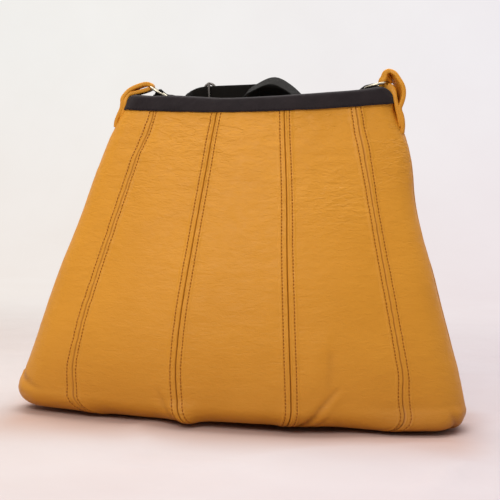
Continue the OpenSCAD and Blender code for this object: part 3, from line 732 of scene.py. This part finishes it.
# Leather panels: a dense skin in front, a plain one behind, closed round the edges
PANEL_MM, NEAR_SEAM, BY_SEAM = 80.0, 1.8, 9.0
ROWS = np.concatenate([np.linspace(0, 1, 10)[:-1], np.linspace(1, 2, 17)[:-1], np.linspace(2, 3, 170)])
RIM_STEPS = np.linspace(0, 1, 7)[1:]


def panel_columns(k):
    """Panel coordinates, closer together by the seams; PANEL_MM is a panel's usual width"""
    lo, hi = (-SIDE_U, -1.5) if k == 1 else (1.5, SIDE_U) if k == 5 else (k - 3.5, k - 2.5)
    width = (hi - lo) * PANEL_MM
    near = np.concatenate([np.linspace(0, NEAR_SEAM, 8), np.linspace(NEAR_SEAM, BY_SEAM, 17)[1:]])
    middle = np.linspace(BY_SEAM, width - BY_SEAM, int((width - 2 * BY_SEAM) / 2.0) + 2)[1:-1]
    return lo + (hi - lo) * np.concatenate([near, middle, (width - near)[::-1]]) / width


def under_binding(side, us, depth):
    """Rows of points at a depth from the wall up to the inside of the binding"""
    u, h = np.meshgrid(us, RIM_STEPS * (BIND_H - BIND_T))
    return warp(side, u, rim_point(side, u, h, depth))


def leather_face(side, us, depth):
    """Rows of points from the middle of the base up to the leather's edge; depth 0 is the skin"""
    u, j = np.meshgrid(us, ROWS)
    wall = warp(side, u, shell(side, u, j, depth)) if depth else skin_point(side, u, j)
    return np.concatenate([wall, under_binding(side, us, depth)])


def set_points(obj, name, values, rest):
    """Gives the mesh a value per point; points past the end of values have the value rest"""
    every = np.full(len(obj.data.vertices), rest)
    every[:values.size] = values.ravel()
    obj.data.attributes.new(name, "FLOAT", "POINT").data.foreach_set("value", every)


def leather_panel(side, node, k):
    us = panel_columns(k)
    v, f, edge = slab(leather_face(side, us, 0.0), leather_face(side, us, LEATHER), side == FRONT)
    panel = make(node + "_leather", v, f, LEATHER_M, "bag", "tan_leather", [node], flat_from=edge)
    u, j = np.meshgrid(us, ROWS)
    # Painted shade on the leather, and where it wrinkles, as values per point
    set_points(panel, "dark", dark(side, u, j), 0.0)
    set_points(panel, "wrinkle", wrinkled(side, u, j), 0.2)


for side, word in ((FRONT, "front"), (BACK, "back")):
    for k in range(1, 6):
        leather_panel(side, "%s_panel_%d" % (word, k), k)

# One stitch: share of its length, share of its thickness, height of its middle
STITCH = ((0.0, 0.35, -0.42), (0.14, 0.85, -0.08), (0.5, 1.0, 0.06), (0.86, 0.85, -0.08), (1.0, 0.35, -0.42))
PATH_STEPS = 420


def stitches(path, normal, pitch=STITCH_PITCH, length=2.0, radius=0.42, rise=0.2):
    """Threads along a path of points with outward normals, each dipping into the leather at its ends"""
    s = reach(path)
    share, fat, height = np.array(STITCH).T
    parts = []
    for i in range(int((s[-1] - length) / pitch)):
        q = 0.4 + i * pitch + share * length
        pts, out = (np.stack([np.interp(q, s, line[:, c]) for c in range(3)], -1) for line in (path, normal))
        parts.append(tube(pts + unit(out) * (rise + height)[:, None], radius * fat, 6))
    return join(parts)


def seam_path(side, seam_u, way):
    """Points and outward normals of a row of stitches, from the binding to under the base"""
    j = np.linspace(2.998, 0.45, PATH_STEPS)
    u = seam_u + way * near_row(np.full(PATH_STEPS, seam_u), row_height(j)) / row_len(j)
    p = skin_point(side, u, j)
    return p, skin_point(side, u, j, 1.0) - p


for side, word in ((FRONT, "front"), (BACK, "back")):
    rows = [stitches(*seam_path(side, seam_u, way)) for seam_u in (-1.5, -0.5, 0.5, 1.5) for way in (-1, 1)]
    make(word + "_topstitching", *join(rows), THREAD_M, "bag", None)

# Lining and pocket
LIN_OUT = LEATHER + PLAY
LIN_IN = LIN_OUT + LINING
LIN_US = np.linspace(-SIDE_U, SIDE_U, 141)
LIN_ROWS = np.concatenate([np.linspace(0, 1, 6)[:-1], np.linspace(1, 2, 9)[:-1], np.linspace(2, 3, 70)])
POCKET_US = np.linspace(-1.0, 1.0, 61)
POCKET_ROWS = np.linspace(2 + 3 / 9, 2 + 7 / 9, 50)


def loose_cloth(side, us, rows, depth, waves):
    """Points of a cloth inside the leather, with soft waves inward"""
    u, j = np.meshgrid(us, rows)
    p = noise_place(u * PANEL_MM, j * 240, 9.0 * side)
    ease = np.clip(3.0 - j, 0, 0.1) * 10 * step(0, 0.3, SIDE_U - np.abs(u))
    sag = waves * ease * np.abs(noise(p, 1 / 32)) * step(1.2, 2, j)
    return warp(side, u, shell(side, u, j, depth + sag))


def lining_face(side, depth, waves):
    wall = loose_cloth(side, LIN_US, LIN_ROWS, depth, waves)
    return np.concatenate([wall, under_binding(side, LIN_US, depth)])


def lining_piece(node, outer, inner, flip):
    v, f, edge = slab(outer, inner, flip)
    make(node + "_cloth", v, f, LINING_M, "bag", "lining_cloth", [node], flat_from=edge)


lining_piece("lining_front", lining_face(FRONT, LIN_OUT, 0.0), lining_face(FRONT, LIN_IN, 0.9), True)
lining_piece("lining_back", lining_face(BACK, LIN_OUT, 0.0), lining_face(BACK, LIN_IN, 0.9), False)
lining_piece("slip_pocket", loose_cloth(BACK, POCKET_US, POCKET_ROWS, LIN_IN + 1.1, 0.0),
             loose_cloth(BACK, POCKET_US, POCKET_ROWS, LIN_IN + 1.9, 0.6), False)

# Rim binding: a strip folded over the edge of leather and lining
BIND_U = SIDE_U * (1 - STOP / RIM_LEN)
BIND_OUT, BIND_IN = -FIT - BIND_T, LIN_IN + FIT + BIND_T
BIND_FINE = -BIND_U + 0.16
STITCH_H = 1.9


def binding_section():
    """(height, depth) pairs round the folded strip, outer skin first, height from the lower edge"""
    mid, half = (BIND_OUT + BIND_IN) / 2, (BIND_IN - BIND_OUT) / 2
    top = BIND_H - 2.0
    over, under = (np.linspace(0, math.pi, n)[1:-1] for n in (9, 7))
    outer = [(h, BIND_OUT) for h in np.linspace(0, top, 9)]
    outer += [(top + 2.0 * math.sin(a), mid - half * math.cos(a)) for a in over]
    outer += [(h, BIND_IN) for h in np.linspace(top, 0, 9)]
    inner = [(h, BIND_IN - BIND_T) for h in np.linspace(0, top, 5)]
    inner += [(top + 0.8 * math.sin(a), mid + (half - BIND_T) * math.cos(a)) for a in under]
    inner += [(h, BIND_OUT + BIND_T) for h in np.linspace(top, 0, 5)]
    return outer, inner


def binding_points(side, us, section, outer):
    """Points of the strip, puffed and uneven; outer is how many of each section lie on its outer skin"""
    u, h = np.meshgrid(us, section[:, 0], indexing="ij")
    off = np.broadcast_to(section[:, 1], u.shape)
    p = np.stack([u * 55, h, off + 40.0 * side], -1)
    along = p * np.array([1, 0, 0])
    swell = 0.35 * np.sin(np.clip(h / BIND_H, 0, 1) * np.pi) ** 0.6
    puff = swell + 0.45 * noise(p * np.array([1, 0.6, 1]), 1 / 9) * step(0, 5, h) + 0.18 * noise(p, 1 / 3.2)
    puff = puff * (np.arange(len(section)) < outer)
    off = off - puff * np.where(off < (LIN_IN - FIT) / 2, 1, -1)
    top = 0.7 * noise(along + 5, 1 / 22) - 0.9 * bell(u + 0.45, 0.25) + 0.6 * bell(u + 1.2, 0.3)
    top = top + 1.8 * bell(u - 2.15, 0.25)
    h = h + top * (h > 9) - 0.25 * noise(along + 50, 1 / 11) * (h < 1)
    return warp(side, u, rim_point(side, u, h, off, LEFT_ROUND))


def binding_ends(side, last, outer, inner):
    """Faces that close both ends between the two skins; last is the first point of the last section"""
    faces = []
    across = [outer + inner - 1 - int(round(k * (inner - 1) / (outer - 1))) for k in range(outer)]
    for start, turned in ((0, side == BACK), (last, side == FRONT)):
        for k in range(outer - 1):
            c, d = across[k], across[k + 1]
            face = [start + x for x in ([k, k + 1, d, c] if c != d else [k, k + 1, c])]
            faces.append(face if turned else face[::-1])
    return faces


def rim_binding(side, node):
    us = np.concatenate([np.linspace(-BIND_U, BIND_FINE, 20)[:-1], np.linspace(BIND_FINE, BIND_U, 250)])
    outer, inner = binding_section()
    pts = binding_points(side, us, np.array(outer + inner), len(outer))
    m, n = pts.shape[:2]
    f = grid_faces(m, n, 0, True, side == BACK) + binding_ends(side, (m - 1) * n, len(outer), len(inner))
    make(node + "_cloth", pts.reshape(-1, 3), f, BINDING_M, "bag", "binding_cloth", [node])
    us = np.linspace(-BIND_U + 0.03, BIND_U - 0.03, 500)
    path, lifted = (warp(side, us, rim_point(side, us, STITCH_H, BIND_OUT - up, LEFT_ROUND))
                    for up in (0.15, 1.15))
    v, f = stitches(path, lifted - path, 3.2, 2.3, 0.25, 0.12)
    make(node + "_stitching", v, f, DARK_THREAD_M, "bag", None)


rim_binding(FRONT, "rim_binding_front")
rim_binding(BACK, "rim_binding_back")

# Ribbons: tabs and webbing. Edge of a ribbon as shares of its half width and half thickness
RIBBON_EDGE = ((1.0, 0.8), (1.025, 0.35), (1.025, -0.35), (1.0, -0.8))


def ribbon_mesh(rows, across, pleat=0.0, curl=0.0):
    """Closed ribbon with rounded long edges; gives points, faces and (across, along) in millimetres"""
    n, w = ribbon_axes(rows)
    length = reach(rows[:, :3])
    flat = (np.linspace(-1, 1, across) * 0.97)[1:-1]
    outline = [(x, 1.0) for x in flat] + list(RIBBON_EDGE)
    outline += [(x, -1.0) for x in flat[::-1]] + [(-x, y) for x, y in RIBBON_EDGE[::-1]]
    squeeze = np.clip(1 - rows[:, 6] / WEB_W, 0, 1)
    ring, uv = [], []
    for a, b in outline:
        wave = pleat * squeeze * np.sin(a * 2.6 * math.pi) + curl * (a * a - 0.4)
        out = b * rows[:, 7] / 2 + wave
        ring.append(rows[:, :3] + w * (a * rows[:, 6] / 2)[:, None] + n * out[:, None])
        uv.append(np.stack([np.full(len(rows), a * 15 + (40 if b < 0 else 0)), length], -1))
    pts = np.stack(ring, 1)
    return pts.reshape(-1, 3), pipe_faces(*pts.shape[:2]), np.stack(uv, 1).reshape(-1, 2)


# Where the strap's look differs from the part's rows: row, to the right, up, times as wide
STRAP_MOVES = ((4, 0, -0.5, 1), (5, 0, -2.9, 1), (6, -2, -3.6, 1), (7, -2, -3, 1), (10, -1.2, -1.5, 0.8),
               (17, -1.2, -1.5, 0.8), (20, -2, -3, 1), (21, -2, -3.6, 1), (22, 0, -2.9, 1), (23, 0, -0.5, 1))
LEFT_TURN_ROWS, ARCH_ROWS, RIGHT_TURN_ROWS = range(11, 17), range(43, 48), range(54, 61)


def strap_look():
    """Bunched tightly in the left ring, sloping up to the slider, the arch tilted a little more"""
    rows = strap_rows()
    for count, i in enumerate(LEFT_TURN_ROWS):
        v = -95 - 36 * count
        rows[i, :3] = LEFT_HANG + (-1.6, 2.9 * cos_d(v), 2.9 * sin_d(v) - 0.7)
        rows[i, 6] = 7.4 - 3.6 * sin_d(v)
    for i, dx, dz, wider in STRAP_MOVES:
        rows[i, 0] += dx
        rows[i, 2] += dz
        rows[i, 6] *= wider
    for i in RIGHT_TURN_ROWS:
        rows[i, 2] -= 2.2
        rows[i, 6] *= 0.9
    for i in ARCH_ROWS:
        rows[i, 2] += 0.3
        rows[i, 5] -= 0.07
    return smooth(rows, 6)


v, f, uv = ribbon_mesh(strap_look(), 17, pleat=0.55)
make("strap_webbing_band", v, f, WEBBING_M, "strap", "webbing", ["strap_webbing"], uv=uv)

# The tabs' leather is folded double, so it looks thicker than the plain strip: inward, up, width
LEFT_TAB = [(-4.6, -16.4, 19), (-4.2, -11.6, 19.5), (-2.2, -5.9, 20), (0.2, -0.1, 20), (0.8, 4.2, 20),
            (0.9, 8.6, 19.5), (3.2, 12.5, 18), (6.7, 16.3, 16), (12.1, 19.3, 14), (18.6, 21.5, 12),
            (22.7, 21.6, 10), (24.9, 19.9, 10), (23.3, 17.9, 10), (17.8, 15.8, 12), (11.6, 14.2, 14),
            (6.3, 12.6, 16), (4.1, 9.4, 18), (3.0, 5.2, 20), (2.4, 0.3, 20), (0.8, -4.9, 20),
            (-0.8, -8.9, 19)]
RIGHT_TAB = [(-6.8, -26.2, 19), (-7.3, -21.1, 19.5), (-7.1, -15.7, 20), (-6.0, -10.5, 20), (-4.2, -5.4, 20),
             (-4.9, -0.7, 20), (-5.5, 4.4, 20), (-5.1, 9.5, 19.5), (-3.5, 14.5, 19), (-0.6, 19.8, 17),
             (2.3, 24.6, 15), (5.6, 26.8, 13), (7.9, 24.8, 12), (8.2, 21.4, 11.5), (8.7, 18.3, 12),
             (8.8, 16.0, 12), (7.7, 13.8, 11), (5.6, 13.0, 11), (3.4, 11.9, 13), (1.4, 9.0, 16),
             (0.2, 5.6, 18), (-0.5, 1.8, 19), (-1.5, -2.1, 20), (-2.3, -5.9, 20), (-3.6, -10.9, 20),
             (-4.7, -16.0, 20), (-5.4, -20.2, 19)]
# The right tab is thicker and twisted at some of its places
THICK = {12: 4.8, 13: 6.0, 14: 6.8, 15: 6.8, 16: 6.6, 17: 6.6, 18: 6.4, 19: 5.2}
TWIST = {5: -0.1, 6: -0.2, 7: -0.3, 8: -0.35, 9: -0.35, 10: -0.25,
         12: 0.25, 13: 0.5, 14: 0.8, 15: 0.8, 16: 0.4}


def tab(side, node, places, thick, thicker, twist):
    rows = [[*tab_place(side, p), twist.get(i, 0), 1, 0, p[2], thicker.get(i, thick)]
            for i, p in enumerate(places)]
    v, f = ribbon_mesh(smooth(rows, 6), 13, curl=0.3)[:2]
    make(node + "_leather", v, f, LEATHER_M, "bag", "tan_leather", [node])


tab(LEFT, "left_tab", LEFT_TAB, 3.7, {}, {})
tab(RIGHT, "right_tab", RIGHT_TAB, 3.9, THICK, TWIST)

# Rings
for node, centre, tilt in (("left_ring", LEFT_RING, LEFT_TILT), ("right_ring", RIGHT_RING, -RIGHT_TILT)):
    a = np.linspace(0, 2 * np.pi, 96, endpoint=False)
    p = centre + RING_R * np.stack([np.cos(a) * cos_d(tilt), np.sin(a), -np.cos(a) * sin_d(tilt)], -1)
    v, f = tube(p, WIRE / 2, 16, True)
    make(node + "_wire", v, f, METAL_M, node, "ring_metal", [node])

# Slider: an oval frame of wire behind the webbing and a bar bent through to its front
SLIDER_WIRE, SLIDER_L, SLIDER_ROOM, SLIDER_PLAY = 2.4, 12.0, 1.6, 0.3
SLIDER_H = WEB_W + 2 * SLIDER_ROOM + 2 * SLIDER_WIRE
FRAME_Y = STEP / 2 + WEB_T / 2 + SLIDER_PLAY + SLIDER_WIRE / 2


def slider_frame():
    """Middle line of the frame: two half circles joined by straight sides"""
    r, end = (SLIDER_L - SLIDER_WIRE) / 2, (SLIDER_H - SLIDER_L) / 2
    return [(r * math.cos(x), FRAME_Y, way * end + r * math.sin(x))
            for way, start in ((1, 0.0), (-1, np.pi)) for x in np.linspace(start, start + np.pi, 25)]


def slider_bar():
    """Middle line of the bar, from the frame's top round to the front of the webbing and back"""
    top = (SLIDER_H - SLIDER_WIRE) / 2
    half = [(0, y * FRAME_Y, top - down) for y, down in ((1, 0), (-0.4, 0), (-0.8, 0.25), (-1, 1.2))]
    return smooth([*half, (0, -FRAME_Y, 0), *[(x, y, -z) for x, y, z in half[::-1]]], 6)


v, f = join([tube(slider_frame(), SLIDER_WIRE / 2, 14, True), tube(slider_bar(), SLIDER_WIRE / 2, 14)])
v = v @ np.array([BAND_DIR, [0, 1, 0], BAND_UP]) + SLIDER_AT
make("strap_slider_wire", v, f, SLIDER_M, "slider", "slider_metal", ["strap_slider"])

# Snap halves and their washers
SNAP_R, SNAP_T, STUD_R, STUD_L, SNAP_DROP, WASHER_T, FLAT_FIT = 9.0, 2.4, 3.0, 1.8, 16.0, 0.3, 0.4


def wall_spot(side, off):
    """Place of the snap on a wall at a depth, and the direction into the bag"""
    z = BODY_H - SNAP_DROP
    p, q = (shell(side, 0.0, wall_j(z + d), 0) for d in (-10, 10))
    slope = math.atan2(q[1] - p[1], q[2] - p[2])
    axis = np.array([0, -side * math.cos(slope), side * math.sin(slope)])
    return shell(side, 0.0, wall_j(z), off), axis


def snap_piece(node, side, depth, profile):
    make(node + "_metal", *lathe(profile, *wall_spot(side, depth)), SNAP_M, "bag", "snap_metal", [node])


SOCKET = [(0, 0), (SNAP_R - 0.4, 0), (SNAP_R, 0.4), (SNAP_R, SNAP_T - 0.6), (SNAP_R - 0.6, SNAP_T),
          (SNAP_R * 0.62, SNAP_T), (SNAP_R * 0.56, SNAP_T - 0.35), (STUD_R + 0.7, SNAP_T - 0.35),
          (STUD_R + 0.3, SNAP_T - 0.6), (STUD_R + 0.3, SNAP_T - STUD_L), (0, SNAP_T - STUD_L)]
PLATE_T = SNAP_T / 2
STUD = [(0, 0), (SNAP_R - 0.3, 0), (SNAP_R, 0.3), (SNAP_R, PLATE_T - 0.3), (SNAP_R - 0.4, PLATE_T),
        (STUD_R + 0.2, PLATE_T), (STUD_R, PLATE_T + 0.2), (STUD_R, PLATE_T + STUD_L - 0.5),
        (STUD_R - 0.5, PLATE_T + STUD_L), (0, PLATE_T + STUD_L)]
WASHER = [(STUD_R, 0), (SNAP_R - 1, 0), (SNAP_R - 1, -WASHER_T), (STUD_R, -WASHER_T), (STUD_R, 0)]
snap_piece("snap_socket", FRONT, LIN_IN + FLAT_FIT, SOCKET)
snap_piece("snap_stud", BACK, LIN_IN + FLAT_FIT, STUD)
snap_piece("socket_washer", FRONT, LIN_OUT - FLAT_FIT, WASHER)
snap_piece("stud_washer", BACK, LIN_OUT - FLAT_FIT, WASHER)


# Stage: pale cloth with soft folds, curving up behind the bag
def seen_ray(nt):
    """1 for rays that the camera sees, also by way of metal, and 0 for those that carry light"""
    ray = new_node(nt, "LightPath").outputs
    seen = math_node("MAXIMUM", ray["Is Camera Ray"], ray["Is Glossy Ray"])
    return math_node("MAXIMUM", seen, ray["Is Transmission Ray"])


def split_axes(place):
    return new_node(place, "SeparateXYZ", Vector=place).outputs


def beyond(value, limit, stretch):
    """How far value lies beyond limit on either side, times stretch, and never below 0"""
    out = math_node("SUBTRACT", math_node("ABSOLUTE", value), limit)
    return math_node("MAXIMUM", math_node("MULTIPLY", out, stretch), 0.0)


def backdrop_material():
    m, nt, bsdf = new_material("pale cloth")
    place = coordinates(nt)
    axes = split_axes(place)
    mottle = texture("Noise", place, Scale=3.0, Detail=4.0, Roughness=0.6)
    to_right = map_range(axes["X"], -0.5, 0.5)

    def tone(warm, cool):
        """Warm to the left, cool to the right, each between two close colours"""
        return mix_colors(to_right, *[ramp(mottle, *pair, 0.35, 0.65) for pair in (warm, cool)])

    floor_tone = tone(((0.580, 0.510, 0.470), (0.610, 0.555, 0.520)),
                      ((0.575, 0.505, 0.545), (0.600, 0.545, 0.590)))
    wall_low = tone(((0.885, 0.815, 0.765), (0.905, 0.845, 0.800)),
                    ((0.850, 0.755, 0.785), (0.875, 0.785, 0.815)))
    wall_high = tone(((0.890, 0.875, 0.845), (0.920, 0.905, 0.880)),
                     ((0.885, 0.845, 0.885), (0.905, 0.875, 0.910)))
    # Painted shadow on the floor close to the bag, warmed by painted light thrown back from the leather
    squares = [math_node("MULTIPLY", way, way)
               for way in (beyond(axes["X"], 0.175, 2.2), beyond(axes["Y"], 0.048, 1.0))]
    away = math_node("SQRT", math_node("ADD", *squares))
    painted_contact_shadow = ramp(map_range(away, -0.04, 0.11, "SMOOTHSTEP"), (0.88, 0.66, 0.54), (1, 1, 1), 0.0, 1.0)
    set_inputs(bsdf, Base_Color=mix_colors(1.0, floor_tone, painted_contact_shadow, "MULTIPLY"),
               Roughness=0.9, Specular_IOR_Level=0.1)
    soft = texture("Noise", place, Scale=9.0, Detail=3.0, Roughness=0.5, Distortion=0.8)
    bump(bsdf, [(soft, 0.01, 0.35)])
    # The wall glows for the camera, whatever light reaches it: painted light, darker low down than high up
    wall_tone = mix_colors(map_range(axes["Z"], -0.02, 0.45), wall_low, wall_high)
    glow = new_node(nt, "Emission", Color=wall_tone)
    far = map_range(axes["Y"], 0.2, 1.0, "SMOOTHSTEP")
    share = math_node("MULTIPLY", math_node("MULTIPLY", seen_ray(nt), far), 0.96)
    both = new_node(nt, "MixShader", Fac=share)
    connect(bsdf.outputs["BSDF"], both.inputs[1])
    connect(glow.outputs["Emission"], both.inputs[2])
    set_inputs(nt.nodes["Material Output"], Surface=both.outputs["Shader"])
    return m


# The stage is laid in metres: its floor's front edge, where the curve starts, the curve's radius
STAGE_FRONT, CURVE_Y, CURVE_R = -2.5, 1.22, 0.45


def backdrop():
    """Sheet along a profile of (back, up): floor, curve and wall, closer together round the bag"""
    floor = [STAGE_FRONT, -1.6, -1.0, *np.linspace(-0.7, 0.7, 150), *np.linspace(0.72, CURVE_Y, 25)]
    curve = [(CURVE_Y + CURVE_R * math.sin(a), CURVE_R - CURVE_R * math.cos(a))
             for a in np.linspace(0, math.pi / 2, 40)[1:]]
    wall = [(CURVE_Y + CURVE_R, z) for z in (*np.linspace(0.5, 1.1, 40)[1:], 2.0, 2.8)]
    profile = np.array([(y, 0.0) for y in floor] + curve + wall)
    x, y = np.meshgrid([-3.0, -1.8, -1.1, *np.linspace(-0.8, 0.8, 180), 1.1, 1.8, 3.0], profile[:, 0])
    z = np.broadcast_to(profile[:, 1][:, None], x.shape)
    # Long soft folds; under and round the bag they only dip, so it still stands on its base
    q = np.stack([x, y + z, z * 0.5], -1) * 1000
    ridge = 1 - np.abs(noise(q * np.array([1, 1.7, 1]) + 40 * noise(q, 1 / 140)[..., None] + 300, 1 / 130))
    fold = 3.0 * (ridge ** 6 - 1)
    dip = np.minimum(fold + 1.4 * noise(q, 1 / 60) - 1.4, 0)
    pts = np.stack([x, y - np.where(z >= 0.02, fold / 1000, 0), z + dip / 1000 * (z < 0.2)], -1)
    sweep = add_mesh("sweep", pts.reshape(-1, 3), grid_faces(*x.shape), backdrop_material())


backdrop()


def area(name, place, aim, size, power, color):
    """Rectangular lamp at a place, turned to aim"""
    light = bpy.data.lights.new(name, "AREA")
    light.shape = "RECTANGLE"
    light.size, light.size_y = size
    light.energy, light.color = power, color
    obj = add_object(name, light)
    obj.location = place
    obj.rotation_euler = (Vector(aim) - Vector(place)).to_track_quat("-Z", "Y").to_euler()


area("key", (-0.32, -1.08, 0.95), (0, 0, 0.2), (0.9, 0.6), 9.6, (1.0, 0.985, 0.96))
area("top", (0.0, 0.36, 1.35), (0, 0.05, 0.1), (1.8, 0.8), 20.0, (1.0, 0.99, 0.98))


def studio_world():
    """Soft light from above, and a pale surround where the camera looks past the backdrop"""
    world = bpy.data.worlds.new("studio")
    world.use_nodes = True
    bpy.context.scene.world = world
    nt = world.node_tree
    up = split_axes(coordinates(nt, "Generated"))["Z"]
    light = ramp(up, (0.16, 0.155, 0.152), (0.85, 0.84, 0.83), 0.0, 0.9)
    color = mix_colors(seen_ray(nt), light, (1.17, 1.14, 1.15, 1))
    set_inputs(nt.nodes["Background"], Color=color, Strength=0.75)


studio_world()

# Camera from a fit of the outline and seams, for a picture of 500 by 500 pixels
AZ, EL, ROLL = math.radians(7.332), math.radians(2.948), math.radians(1.638)
PIXELS, FOCAL, OFF_X, OFF_Y, SENSOR = 500, 1300.0, 5.986, -10.89, 36
AIM, DISTANCE = np.array([0, 0, 0.150]), 1.100454


def camera():
    view = np.array([-math.sin(AZ) * math.cos(EL), math.cos(AZ) * math.cos(EL), -math.sin(EL)])
    level = np.array([math.cos(AZ), math.sin(AZ), 0.0])
    upright = np.cross(level, view)
    right = math.cos(ROLL) * level + math.sin(ROLL) * upright
    up = -math.sin(ROLL) * level + math.cos(ROLL) * upright
    data = bpy.data.cameras.new("camera")
    data.lens, data.sensor_width = FOCAL / PIXELS * SENSOR, SENSOR
    data.shift_x, data.shift_y = OFF_X / PIXELS, OFF_Y / PIXELS
    data.clip_start, data.clip_end = 0.05, 20
    cam = add_object("camera", data)
    place = AIM - view * DISTANCE
    cam.matrix_world = Matrix([*[(right[i], up[i], -view[i], place[i]) for i in range(3)], (0, 0, 0, 1)])
    bpy.context.scene.camera = cam


camera()
bpy.context.scene.view_settings.view_transform = "Standard"
